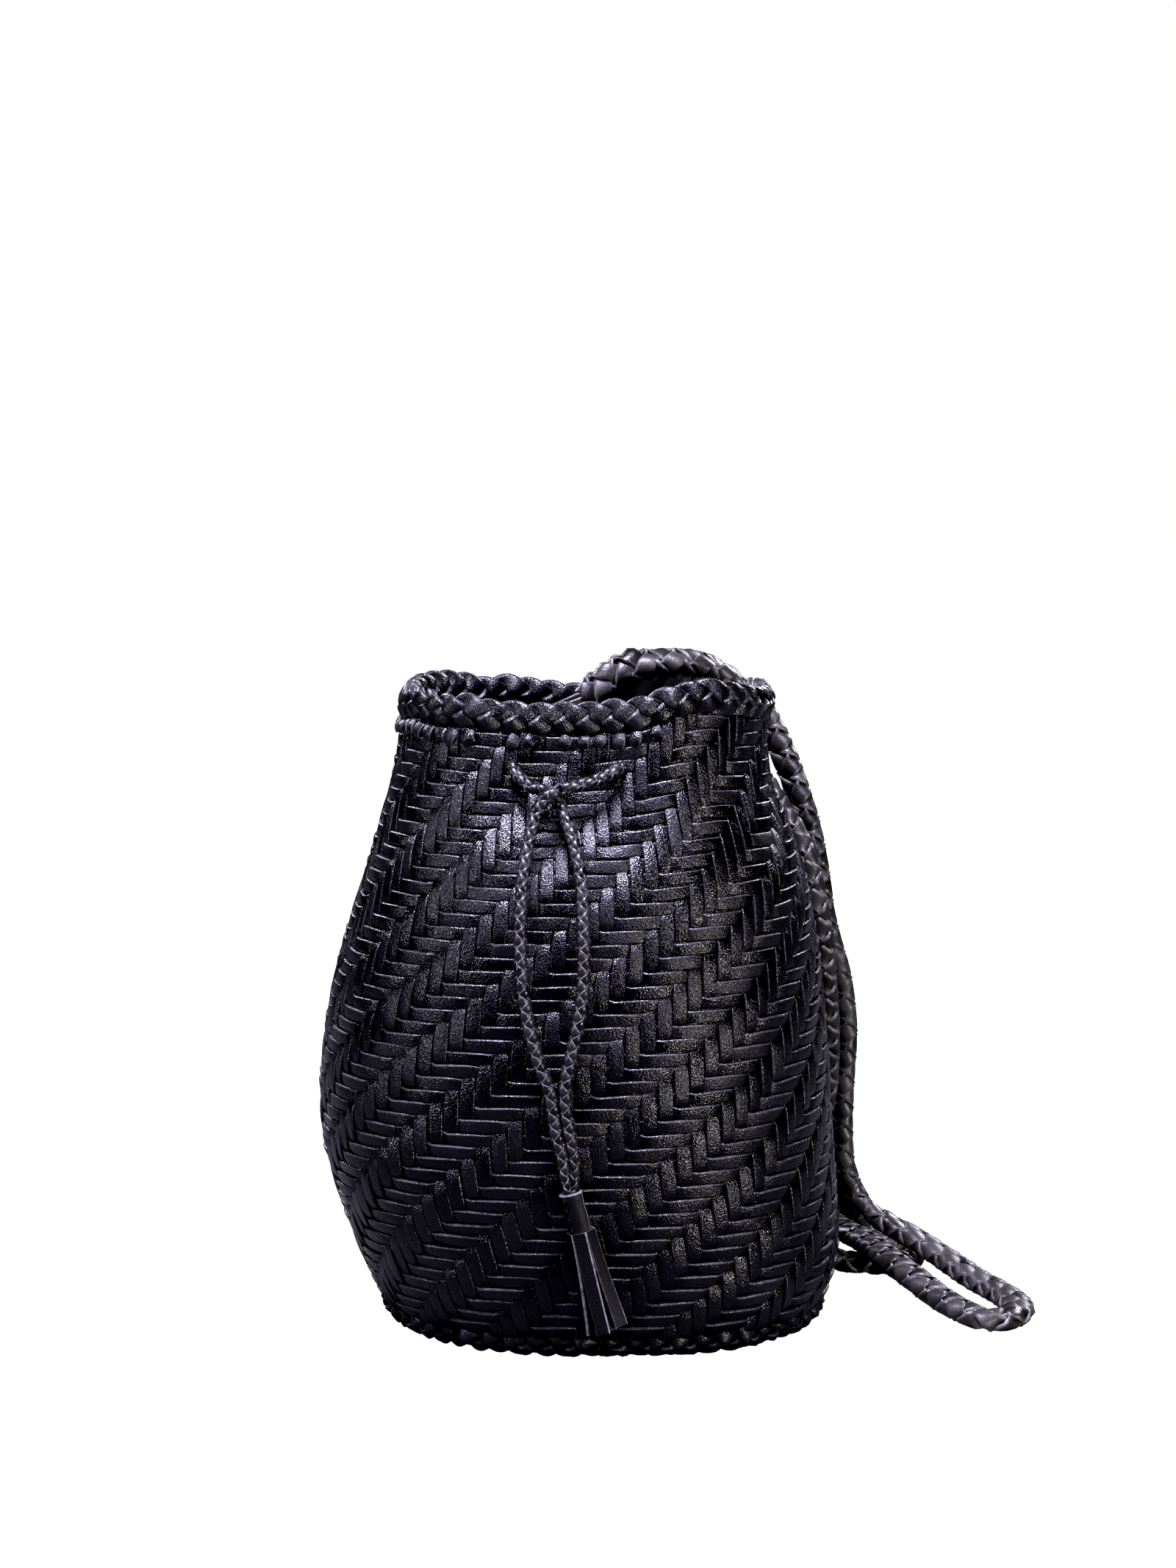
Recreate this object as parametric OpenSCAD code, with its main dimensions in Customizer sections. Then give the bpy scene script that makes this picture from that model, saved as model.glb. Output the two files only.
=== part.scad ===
// Woven leather bucket bag with a plaited rim, a braided shoulder strap and a tasselled drawstring.
// Millimetres, +Z up, +Y towards the back of the bag. The origin is the middle of the base, on the surface
// that the bag stands on. Angles around the bag run from +X, its right side, through +Y.

/* [Bag] */
// Width of the bag at its widest course
belly_width = 188; // [170:1:206]
// Depth of the bag at its widest course
belly_depth = 182; // [170:1:200]
// Height from the floor to the middle of the rim's upper edge
rim_height = 233; // [228:1:236]
// How square the plan is: 2 is an ellipse, more is squarer
plan_power = 2.4; // [2:0.1:3]
// How strongly the rim's upper edge waves up and down
rim_wave = 1; // [0:0.1:1.1]
// How far the drawstring pulls in the front of the mouth
front_pinch = 10; // [0:1:14]
// How far the back of the mouth leans in
back_pinch = 5; // [0:1:8]

/* [Weave] */
// Number of horizontal strips between the base border and the rim
weft_count = 42; // [42:1:42]
// Thickness of a leather strip
strip = 1.3; // [1:0.1:1.5]
// Height of a horizontal strip
weft_height = 4.5; // [4:0.1:4.55]
// Thickness of the layer of upright strips
warp_depth = 1.5; // [1.2:0.1:2]

/* [Base and rim] */
// Thickness of the base panel
base_thickness = 3; // [2:0.5:3]
// Height of the plaited border around the base
border_height = 7.5; // [7:0.5:8]
// Height of one plaited course of the rim
course_height = 8; // [7:0.5:8]

/* [Strap and drawstring] */
// Thickness of the strap as a plain round cord
strap_diameter = 10; // [9:0.5:10.5]
// Diameter of the drawstring
cord_diameter = 4.4; // [3.6:0.2:4.6]

/* [Tassel] */
// Diameter of the tassel's rolled cap
cap_diameter = 9.6; // [9:0.2:11]
// Length of the tassel's cap
cap_length = 14.5; // [12:0.5:18]
// Length of the fringe below the cap
fringe_length = 36; // [25:1:38]
// Number of strips around the fringe
fringe_count = 11; // [8:1:11]
// How far the tassel leans to the right, in degrees
tassel_lean = 14; // [0:1:16]

/* [Hidden] */
function weft_name(k) = str("weft_", k < 10 ? "0" : "", k);

leather = [0.10, 0.10, 0.12];
leather_light = [0.17, 0.17, 0.19];
plan_points = 40;
cord_sides = 8;
strap_sides = 8;
gap = 0.3;

// Courses of the wall, each [height, half width, half depth, shift to the right].
belly_w = belly_width / 2;
belly_d = belly_depth / 2;
WALL = [
    [0, belly_w - 18, belly_d - 16, 10],
    [8, belly_w - 12, belly_d - 11, 10],
    [25, belly_w - 5.5, belly_d - 5, 8],
    [70, belly_w, belly_d, 0],
    [120, belly_w - 3.5, belly_d - 3, 0],
    [165, belly_w - 13.5, belly_d - 12, 3],
    [200, belly_w - 25, belly_d - 25, 1.5],
    [rim_height, belly_w - 28, belly_d - 31, 4],
];
// Height of the rim's wave every 30 degrees around the bag, from its right side.
RIM_LIFT = [0.5, -1.5, -4.5, -5, -2, 1, 0.5, 1.5, 0.5, -1.8, 6.5, 3.5];
weft_bottom = border_height + 0.9;
weft_pitch = 4.72;
weft_top = weft_bottom + weft_count * weft_pitch;
warp_gap = 1.4;
warp_outer = strip + warp_gap;
warp_inner = warp_outer + warp_depth;
tabs_bottom = 213;
tabs_top = rim_height - 2 * course_height - 0.8;
lower_bottom = tabs_top + gap;
upper_bottom = rim_height - course_height + gap / 2;

// Drawstring: inside the wall it is a ring, which leaves it at two places in front. The two ends cross in
// front, where the tails swing about a line along X, and hang down to the tassel.
cord_r = cord_diameter / 2;
ring_z = 206;
ring_inset = warp_inner + cord_r + 0.5;
ring_start = 284;
ring_end = 612;
CROSSING = [-8.5, -65.5, 202];
RUN_LEFT = [[-23, -57.5, 209], [-20.5, -61.5, 206.5], [-17, -64, 203.5], CROSSING + [-4.9, 0.5, 0]];
RUN_RIGHT = [
    [16, -57.5, 209.5], [13, -62, 208.2], [8, -65, 206], [2, -66, 204], CROSSING + [5.1, -0.5, 0.5],
];
TAIL_RIGHT = [
    CROSSING + [-3.6, 0.3, -0.1], [-9, -65.6, 200.2], [-5.8, -67.6, 196.6], [-2, -75, 188], [1.5, -83.5, 174],
    [2.5, -90, 158], [2.5, -93.5, 140], [1, -95.5, 126], [-2, -96.6, 112], [-4, -97.2, 100],
    [-2.8, -97.5, 88], [-0.8, -97.6, 78], [-0.2, -97.6, 68.6],
];
TAIL_LEFT = [
    CROSSING + [3.1, -2.1, 0.3], [-8.3, -71.8, 202.2], [-12.8, -73.3, 197.5], [-16, -77, 188], [-18.5, -84, 174],
    [-19.5, -90, 158], [-19, -93.5, 140], [-17, -95.5, 126], [-13.5, -96.6, 112], [-9.2, -97.2, 100],
    [-7.4, -97.5, 88], [-5.6, -97.6, 78], [-5, -97.6, 68.6],
];

// Tassel: it swings to the left and right about this point on the two tails, a little above its cap.
TASSEL_PIVOT = [-2.6, -97.6, 68.2];
cap_drop = 3;
cap_wall = 1.1;
fringe_strip = 1.7;
fringe_spread = 4.5;
knot_r = 3;

// Shoulder strap: from its root inside the back of the mouth it goes over the rim, down to the floor, out in
// a long loop, round behind the bag, out in a small loop under the first, and up to its root outside the wall.
strap_r = strap_diameter / 2;
STRAP = [
    [4, 43, 223.5], [9, 44, 228.5], [18, 45.5, 234.3], [28, 47, 236.4], [38, 48, 236.7], [48, 50.5, 235],
    [57, 55, 230.5], [63, 58, 225], [68.5, 58, 218.5], [74, 56, 210], [80, 52.5, 197], [84, 50, 186],
    [87.5, 49, 175], [90, 48, 164], [92, 47.5, 152], [93.5, 47, 141], [96.5, 48, 129], [100, 50, 117],
    [102, 52, 105], [103, 54, 93], [102.5, 56, 80], [102, 58, 66], [102, 60, 52], [103.5, 61, 37],
    [109.5, 58, 25], [119, 52, 18], [129, 44, 14], [140, 32, 9.5], [150, 14, 6.5], [157, 0, 5.5],
    [161, -12, 5.2], [162, -25, 5.2], [158, -36, 5.2], [149.5, -40.5, 5.4], [141, -34.5, 7], [133, -23, 9],
    [125.5, -11, 12], [118, 4, 14.5], [111, 28, 15.5], [104, 47, 15.5], [98, 64, 15], [93, 84, 12],
    [89, 102, 8], [80, 117, 5.5], [66, 125, 5.2], [52, 122, 5.2], [44, 110, 5.2], [50, 98, 5.2],
    [64, 89, 5.2], [78, 79, 5.2], [89, 66, 5.2], [99, 50, 5.2], [109, 43, 5.2], [119, 43, 5.2],
    [127, 49, 5.2], [129, 59, 5.2], [125, 69, 5.5], [116, 74, 8], [109, 74.5, 14], [102.5, 73, 24],
    [96, 71, 35], [91.6, 63.6, 46], [91.8, 53.5, 58], [95, 45.5, 72], [95.5, 38, 96], [94, 34, 118],
    [92.5, 32, 134], [90.5, 31.5, 146], [88.5, 32.2, 154], [86.2, 33.8, 163], [82.4, 37.8, 171.5], [77.5, 44, 179],
    [73, 52, 185.5], [68, 57.5, 191.5], [63.5, 59.5, 199],
];
inside_bottom = 211;
inside_top = 223;
outside_bottom = 193;
outside_top = 206;
root_depth = 4;
inside_inset = warp_inner + 4 * gap;
root_columns = 8;

function mix(a, b, f) = a + (b - a) * f;
function ease(f) = let (c = max(0, min(1, f))) c * c * (3 - 2 * c);

// A smooth curve through a table's rows, whose first column is the place and whose column c is the value.
function rise(table, k, c) =
    let (a = max(0, k - 1), b = min(len(table) - 1, k + 1))
    (table[b][c] - table[a][c]) / (table[b][0] - table[a][0]);
function row_below(table, z, k = 0) =
    k + 2 >= len(table) || z < table[k + 1][0] ? k : row_below(table, z, k + 1);
function smooth_at(table, z, c) =
    let (
        k = row_below(table, z),
        h = table[k + 1][0] - table[k][0],
        f = (z - table[k][0]) / h,
        v0 = table[k][c],
        v1 = table[k + 1][c],
        m0 = rise(table, k, c) * h,
        m1 = rise(table, k + 1, c) * h
    )
    (1 + 2 * f) * (1 - f) * (1 - f) * v0 + f * (1 - f) * (1 - f) * m0
        + f * f * (3 - 2 * f) * v1 - f * f * (1 - f) * m1;

// The wall's plan at a height. inset is how far inside the outer face of the weave the point lies.
function rounded(v) = sign(v) * pow(abs(v), 2 / plan_power);
function pinch(x, y, z) =
    ease((z - 160) / 50) * exp(-pow((x + 6) / 30, 2)) * (y < 0 ? front_pinch : -back_pinch);
function plan_point(t, z, inset) =
    let (
        x = smooth_at(WALL, z, 3) + (smooth_at(WALL, z, 1) - inset) * rounded(cos(t)),
        y = (smooth_at(WALL, z, 2) - inset) * rounded(sin(t))
    )
    [x, y + pinch(x, y, z) * abs(rounded(sin(t)))];
function wrapped(values, k) = values[(k % len(values) + len(values)) % len(values)];
function around(values, t) =
    let (
        p = t * len(values) / 360,
        k = floor(p),
        f = p - k,
        a = wrapped(values, k - 1),
        b = wrapped(values, k),
        c = wrapped(values, k + 1),
        d = wrapped(values, k + 2)
    )
    b + f / 2 * (c - a + f * (2 * a - 5 * b + 4 * c - d + f * (3 * (b - c) + d - a)));
function lift(t, z) = ease((z - 150) / (rim_height - 150)) * rim_wave * around(RIM_LIFT, t);
function wall_point(t, z, inset, waved = 1) =
    let (p = plan_point(t, z, inset)) [p[0], p[1], z + waved * lift(t, z)];
function plan_outline(z, inset) =
    [for (i = [0:plan_points - 1]) plan_point(i * 360 / plan_points, z, inset)];

// A closed band all round the bag. section is its outline in the wall, as [inset, height] points, with a
// third value of 0 where the height doesn't follow the waves of the rim.
module band(section) {
    m = len(section);
    n = plan_points;
    points = [for (i = [0:n - 1], s = section) wall_point(i * 360 / n, s[1], s[0], len(s) > 2 ? s[2] : 1)];
    faces = [
        for (i = [0:n - 1], j = [0:m - 1])
            let (i2 = (i + 1) % n, j2 = (j + 1) % m)
            each [[i * m + j, i * m + j2, i2 * m + j2], [i * m + j, i2 * m + j2, i2 * m + j]]
    ];
    polyhedron(points = points, faces = faces, convexity = 6);
}

// A curved plate that follows the wall between two angles.
module wall_plate(t0, t1, z0, z1, outer, inner, waved = 1) {
    n = root_columns;
    section = [[outer, z0], [outer, z1], [inner, z1], [inner, z0]];
    points = [for (i = [0:n], s = section) wall_point(mix(t0, t1, i / n), s[1], s[0], waved)];
    sides = [
        for (i = [0:n - 1], j = [0:3])
            let (j2 = (j + 1) % 4)
            each [[i * 4 + j, i * 4 + j2, i * 4 + 4 + j2], [i * 4 + j, i * 4 + 4 + j2, i * 4 + 4 + j]]
    ];
    ends = [[3, 2, 1, 0], [n * 4, n * 4 + 1, n * 4 + 2, n * 4 + 3]];
    polyhedron(points = points, faces = concat(sides, ends), convexity = 4);
}

// A round tube swept along a route, with a smooth curve through its points.
function unit(v) = v / norm(v);
function route_tangent(route, k) = unit(route[min(len(route) - 1, k + 1)] - route[max(0, k - 1)]);
function carry(side, tangent) = unit(side - (side * tangent) * tangent);
function sides_along(route, k, side) =
    k == len(route) ? [] :
    let (s = carry(side, route_tangent(route, k))) concat([s], sides_along(route, k + 1, s));
module tube(route, r, sides) {
    n = len(route);
    start = carry([0.3, 1, 0.2], route_tangent(route, 0));
    side = sides_along(route, 0, start);
    points = [
        for (k = [0:n - 1])
            let (t = route_tangent(route, k), u = side[k], v = cross(t, u))
            for (j = [0:sides - 1]) route[k] + r * (cos(j * 360 / sides) * u + sin(j * 360 / sides) * v)
    ];
    walls = [
        for (k = [0:n - 2], j = [0:sides - 1])
            let (a = k * sides, b = a + sides, j2 = (j + 1) % sides)
            each [[a + j, b + j2, a + j2], [a + j, b + j, b + j2]]
    ];
    ends = [[for (j = [0:sides - 1]) j], [for (j = [0:sides - 1]) n * sides - 1 - j]];
    polyhedron(points = points, faces = concat(walls, ends), convexity = 6);
}

// Base: a flat panel with a plaited border turned up around it.
module base_panel() {
    color(leather)
        linear_extrude(height = base_thickness) polygon(plan_outline(0, 9.4));
}

module base_border() {
    inner = warp_outer - gap;
    color(leather_light)
        band([
            [9, 0], [2, 0], [-1, 1.6], [-2, 3.8], [-1.4, border_height - 1.5], [0.4, border_height],
            [inner, border_height], [inner, 3.4], [9, 3.2],
        ]);
}

// Wall: a layer of upright strips, with the horizontal strips woven around it.
module warp_strips() {
    heights = [3.7, border_height, 15, 25, 45, 70, 95, 120, 142, 158, 166, 174, 182, 190, 198, weft_top];
    color(leather)
        band(concat(
            [for (z = heights) [warp_outer, z, 0]],
            [[warp_outer, tabs_top], [warp_inner, tabs_top]],
            [for (i = [len(heights) - 1:-1:0]) [warp_inner, heights[i], 0]]));
}

module weft(k) {
    z = weft_bottom + (k - 1) * weft_pitch;
    middle = z + weft_height / 2;
    color(leather_light)
        translate([0, 0, z])
            linear_extrude(height = weft_height)
                difference() {
                    polygon(plan_outline(middle, 0));
                    polygon(plan_outline(middle, strip));
                }
}

// Rim: a course of cut tabs, then two plaited courses.
module rim_tabs() {
    inner = warp_outer - 2 * gap;
    color(leather)
        band([
            [inner, tabs_bottom], [0, tabs_bottom], [-1, tabs_bottom + 1], [-1, tabs_top - 0.5], [inner, tabs_top],
        ]);
}

module rim_course(z, fullness) {
    h = course_height - gap;
    color(leather_light)
        band([
            [warp_inner, z], [0.5, z], [-fullness, z + h * 0.25], [-fullness, z + h * 0.75], [0.5, z + h],
            [warp_inner, z + h], [warp_inner + 0.8, z + h * 0.5],
        ]);
}

module rim_plait_lower() {
    rim_course(lower_bottom, 2.6);
}

module rim_plait_upper() {
    rim_course(upper_bottom, 2.2);
}

// Strap: one braid. One end is spread and laced inside the wall, the other outside it.
module strap() {
    color(leather)
        tube(STRAP, strap_r, strap_sides);
}

module strap_root_inside() {
    color(leather)
        wall_plate(80, 102, inside_bottom, inside_top, inside_inset, inside_inset + root_depth);
}

module strap_root_outside() {
    color(leather)
        wall_plate(36, 56, outside_bottom, outside_top, -gap - root_depth, -gap, 0);
}

// Drawstring: threaded round the neck, crossed in front, with two hanging tails.
module drawstring_ring() {
    steps = 32;
    route = [
        for (i = [0:steps])
            let (t = mix(ring_start, ring_end, i / steps), p = plan_point(t, ring_z, ring_inset))
            [p[0], p[1], ring_z + lift(t, ring_z)]
    ];
    color(leather)
        tube(route, cord_r, cord_sides);
}

module drawstring_front() {
    color(leather) {
        tube(RUN_LEFT, cord_r, cord_sides);
        tube(RUN_RIGHT, cord_r, cord_sides);
    }
}

module tail_left() {
    color(leather)
        tube(TAIL_LEFT, cord_r, cord_sides);
}

module tail_right() {
    color(leather)
        tube(TAIL_RIGHT, cord_r, cord_sides);
}

// Tassel: a rolled cap around the cord's knot, over a fringe cut from the same roll.
module at_tassel() {
    translate(TASSEL_PIVOT)
        rotate([0, 180 - tassel_lean, 0])
            translate([0, 0, cap_drop])
                children();
}

module tassel_cap() {
    color(leather)
        at_tassel()
            difference() {
                cylinder(d = cap_diameter, h = cap_length, $fn = 48);
                translate([0, 0, cap_wall])
                    cylinder(d = cap_diameter - 2 * cap_wall, h = cap_length, $fn = 48);
                translate([0, 0, -gap])
                    cylinder(r = cord_r + gap, h = cap_wall + 2 * gap, $fn = 48);
            }
}

module tassel_knot() {
    stub_top = -0.9;
    color(leather_light)
        at_tassel() {
            translate([0, 0, cap_wall + knot_r])
                sphere(r = knot_r, $fn = 32);
            translate([0, 0, stub_top])
                cylinder(r = cord_r, h = cap_wall + knot_r - stub_top, $fn = 32);
        }
}

module tassel_fringe() {
    core_top = cap_wall + 2 * knot_r + gap;
    core_r = cap_diameter / 2 - cap_wall - gap;
    color(leather_light)
        at_tassel() {
            translate([0, 0, core_top])
                cylinder(r = core_r, h = cap_length - core_top, $fn = 48);
            for (i = [0:fringe_count - 1])
                rotate([0, 0, i * 360 / fringe_count])
                    translate([core_r - strip, -fringe_strip / 2, cap_length])
                        rotate([0, fringe_spread, 0])
                            cube([strip * 0.8, fringe_strip, fringe_length]);
        }
}

base_panel();
base_border();
warp_strips();
for (k = [1:weft_count])
    weft(k);
rim_tabs();
rim_plait_lower();
rim_plait_upper();
strap();
strap_root_inside();
strap_root_outside();
drawstring_ring();
drawstring_front();
tail_left();
tail_right();
tassel_cap();
tassel_knot();
tassel_fringe();
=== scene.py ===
"""A small bucket bag woven from black leather strips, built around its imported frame.

The wall is real weaving: upright strips and hoops pass over and under one another in a
three-over-three twill. The rim and the foot of the wall are finished with plaits, a thin
braided drawstring crosses at the front and ends in a tassel, and one long braided strap
rises out of the mouth and lies in loops on the floor.
"""

import logging
import math
from collections.abc import Callable
from dataclasses import dataclass, field
from enum import Enum

import bmesh
import bpy
import numpy as np
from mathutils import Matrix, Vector


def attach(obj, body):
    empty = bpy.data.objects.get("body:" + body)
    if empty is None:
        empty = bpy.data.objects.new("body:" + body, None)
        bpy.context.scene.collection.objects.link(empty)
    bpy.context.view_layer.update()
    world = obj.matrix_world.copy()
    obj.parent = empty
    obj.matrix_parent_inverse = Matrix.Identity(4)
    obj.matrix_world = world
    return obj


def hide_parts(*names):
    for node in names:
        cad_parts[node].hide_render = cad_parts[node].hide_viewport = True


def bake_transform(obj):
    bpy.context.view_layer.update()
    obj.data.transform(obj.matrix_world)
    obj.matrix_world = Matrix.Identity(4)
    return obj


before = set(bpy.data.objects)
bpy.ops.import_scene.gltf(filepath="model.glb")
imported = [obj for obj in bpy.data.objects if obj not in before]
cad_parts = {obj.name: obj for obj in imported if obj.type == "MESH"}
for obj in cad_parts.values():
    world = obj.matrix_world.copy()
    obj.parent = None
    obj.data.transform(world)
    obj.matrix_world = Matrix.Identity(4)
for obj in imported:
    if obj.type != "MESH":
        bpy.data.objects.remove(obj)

LOG = logging.getLogger("bucket_bag")
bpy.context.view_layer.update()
MM = 0.001

# How many features the leather's patterns have in a metre.
CLOUD_SCALE = 60.0
SPECK_SCALE = 1300.0
RUB_SCALE = 420.0
DYE_SCALE = 150.0


class Body(Enum):
    """The moving parts of the bag that pieces ride on."""

    BAG = "bag"
    TAILS = "drawstring_tails"
    TASSEL = "tassel"


class Slot(Enum):
    """The leathers that the pieces are cut from."""

    BASE = "base_leather"
    BORDER = "border_leather"
    WARP = "warp_leather"
    WEFT = "weft_leather"
    STRAP = "strap_leather"
    CORD = "cord_leather"
    TASSEL = "tassel_leather"


# ---------------------------------------------------------------- vectors and routes


def unit(vectors: np.ndarray) -> np.ndarray:
    """Scales rows of vectors to length one.

    Args:
        vectors: Array whose last axis holds x, y, z.

    Returns:
        The same array with every vector of unit length.
    """
    return vectors / np.maximum(np.linalg.norm(vectors, axis=-1, keepdims=True), 1e-12)


def ease(value: np.ndarray) -> np.ndarray:
    """Goes smoothly from 0 to 1 as value goes from 0 to 1.

    Args:
        value: Numbers of any size.

    Returns:
        Numbers from 0 to 1.
    """
    clipped = np.clip(value, 0.0, 1.0)
    return clipped * clipped * (3 - 2 * clipped)


def slopes(points: np.ndarray, closed: bool) -> np.ndarray:
    """Finds the direction of travel at each point of a line.

    Args:
        points: Points along the line, in order.
        closed: Whether the last point joins the first.

    Returns:
        Unit tangents, one for each point.
    """
    if closed:
        return unit(np.roll(points, -1, axis=0) - np.roll(points, 1, axis=0))
    return unit(np.gradient(points, axis=0))


@dataclass
class Route:
    """A line in space with a direction that says which way its flat side faces."""

    points: np.ndarray
    facing: np.ndarray

    @staticmethod
    def through(controls: list, facings: np.ndarray, step: float) -> "Route":
        """Runs a smooth line through given points, in millimetres.

        Args:
            controls: The points, in millimetres.
            facings: The facing direction at each point.
            step: Spacing of the finished line, in metres.

        Returns:
            The route, in metres.
        """
        knots = np.array(controls, float) * MM
        both = np.hstack([knots, np.array(facings, float)])
        padded = np.vstack([2 * both[0] - both[1], both, 2 * both[-1] - both[-2]])
        pieces = []
        for index in range(len(both) - 1):
            before, here, there, after = padded[index : index + 4]
            share = np.linspace(0, 1, 12, endpoint=False)[:, None]
            pieces.append(
                0.5
                * (
                    2 * here
                    + (there - before) * share
                    + (2 * before - 5 * here + 4 * there - after) * share**2
                    + (3 * here - before - 3 * there + after) * share**3
                )
            )
        dense = np.vstack([*pieces, both[-1:]])
        return Route(dense[:, :3], dense[:, 3:]).resampled(step)

    def distances(self) -> np.ndarray:
        """Gives the distance along the line of each point, in metres."""
        gaps = np.linalg.norm(np.diff(self.points, axis=0), axis=1)
        return np.concatenate([[0.0], np.cumsum(gaps)])

    def resampled(self, step: float) -> "Route":
        """Spaces the points evenly.

        Args:
            step: The spacing wanted, in metres.

        Returns:
            The same line with evenly spaced points.
        """
        along = self.distances()
        count = max(2, int(round(along[-1] / step)) + 1)
        wanted = np.linspace(0, along[-1], count)
        both = np.hstack([self.points, self.facing])
        columns = [np.interp(wanted, along, column) for column in both.T]
        even = np.array(columns).T
        return Route(even[:, :3], even[:, 3:])

    def frames(self, closed: bool = False) -> tuple[np.ndarray, np.ndarray, np.ndarray]:
        """Finds the axes of the line at each point.

        Args:
            closed: Whether the line is a loop.

        Returns:
            Tangents, sideways directions and facing directions.
        """
        along = slopes(self.points, closed)
        facing = self.facing - along * np.sum(self.facing * along, axis=1)[:, None]
        facing = unit(facing)
        return along, np.cross(facing, along), facing


# ---------------------------------------------------------------- strips and pieces


@dataclass(frozen=True)
class StripCut:
    """The cross-section of a leather strip, in metres."""

    width: float
    thickness: float
    crown: float
    bevel: float
    lip: float = 0.3 * MM

    def outline(self) -> np.ndarray:
        """Gives the outline as rows of side, inset, height and how much is cut edge."""
        half, edge, lip = self.thickness / 2, self.bevel, self.lip
        return np.array(
            [
                [1.0, 0.0, -half + edge, 0.8],
                [1.0, 0.0, half - lip, 1.0],
                [1.0, lip, half, 1.0],
                [1.0, 1.6 * lip, half + 0.2 * self.crown, 0.0],
                [0.0, 0.0, half + self.crown, 0.0],
                [-1.0, 2 * edge, half, 0.0],
                [-1.0, 0.0, half - 2 * edge, 0.7],
                [-1.0, 0.0, -half + edge, 0.7],
                [-1.0, edge, -half, 0.0],
                [1.0, edge, -half, 0.0],
            ]
        )


@dataclass(frozen=True)
class StrandCut:
    """The cross-section of a plump, rounded strand, in metres."""

    width: float
    thickness: float
    points: int = 12
    squareness: float = 2.6
    edge_from: float = 0.86

    def outline(self) -> np.ndarray:
        """Gives the outline as rows of side, inset, height and how much is cut edge."""
        turn = np.linspace(0, 2 * math.pi, self.points, endpoint=False)
        side = np.sign(np.cos(turn)) * np.abs(np.cos(turn)) ** (2 / self.squareness)
        high = np.sign(np.sin(turn)) * np.abs(np.sin(turn)) ** (2 / self.squareness)
        cut = np.clip((np.abs(side) - self.edge_from) / (1 - self.edge_from), 0, 1)
        flat = np.zeros(self.points)
        return np.column_stack([side, flat, high * self.thickness / 2, cut])


@dataclass
class StripMesh:
    """Collects swept strips and makes one piece of them."""

    name: str
    vertices: list = field(default_factory=list)
    faces: list = field(default_factory=list)
    edges: list = field(default_factory=list)
    tones: list = field(default_factory=list)
    count: int = 0

    def sweep(
        self,
        centres: np.ndarray,
        outward: np.ndarray,
        cut: "StripCut | StrandCut",
        widths: np.ndarray,
        tones: np.ndarray,
        closed: bool = False,
    ) -> None:
        """Adds one strip that follows a line.

        Args:
            centres: Points on the strip's middle line.
            outward: The direction that the strip's face looks in, at each point.
            cut: The cross-section.
            widths: The strip's width at each point, in metres.
            tones: How light the leather is at each point, from 0 to 1: a random tone, with painted
                shade towards the float ends on the woven strips.
            closed: Whether the strip is an endless hoop.
        """
        along = slopes(centres, closed)
        face = unit(outward - along * np.sum(outward * along, axis=1)[:, None])
        across = np.cross(face, along)
        outline = cut.outline()
        reach = outline[None, :, 0] * (widths[:, None] / 2 - outline[None, :, 1])
        places = (
            centres[:, None]
            + across[:, None] * reach[..., None]
            + face[:, None] * outline[None, :, 2, None]
        )
        rows, ring = places.shape[:2]
        index = np.arange(rows * ring).reshape(rows, ring) + self.count
        ahead = np.roll(index, -1, axis=0) if closed else index[1:]
        here = index if closed else index[:-1]
        quads = np.stack(
            [here, np.roll(here, -1, 1), np.roll(ahead, -1, 1), ahead], axis=-1
        )
        self.faces.extend(quads.reshape(-1, 4).tolist())
        if not closed:
            self.faces.append(index[0, ::-1].tolist())
            self.faces.append(index[-1].tolist())
        self.vertices.append(places.reshape(-1, 3))
        self.edges.append(np.tile(outline[:, 3], rows))
        self.tones.append(np.repeat(tones, ring))
        self.count += rows * ring

    def finish(self, crease: float = 38.0) -> bpy.types.Object:
        """Makes the Blender piece.

        Args:
            crease: Angle in degrees past which an edge stays sharp.

        Returns:
            The new mesh object, at the origin.
        """
        mesh = bpy.data.meshes.new(self.name)
        mesh.from_pydata(np.vstack(self.vertices).tolist(), [], self.faces)
        # The tone attribute holds each strip's random tone, with painted shade on the woven strips.
        for label, values in (("cut_edge", self.edges), ("strip_tone_and_shade", self.tones)):
            layer = mesh.attributes.new(label, "FLOAT", "POINT")
            layer.data.foreach_set("value", np.concatenate(values).astype(np.float32))
        mesh.shade_smooth()
        mesh.set_sharp_from_angle(angle=math.radians(crease))
        mesh.update()
        piece = bpy.data.objects.new(self.name, mesh)
        bpy.context.scene.collection.objects.link(piece)
        return piece


def place(
    piece: bpy.types.Object,
    body: Body,
    slot: Slot,
    finish: "Leather",
    nodes: tuple = (),
    rides: bool = True,
) -> bpy.types.Object:
    """Dresses a piece and fixes it to the part that it moves with.

    Args:
        piece: The mesh object.
        body: The moving part that it rides on.
        slot: The leather that it is cut from; not used.
        finish: The leather's look.
        nodes: Names of the plain solids that it stands for.
        rides: Whether it is fixed to the part that it moves with.

    Returns:
        The same piece.
    """
    piece.data.materials.clear()
    piece.data.materials.append(finish.material())
    if rides:
        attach(piece, body.value)
    if nodes:
        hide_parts(*nodes)
    faces = len(piece.data.polygons)
    LOG.info("%s: %d faces on %s", piece.name, faces, body.value)
    return piece


# ---------------------------------------------------------------- leather


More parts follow.
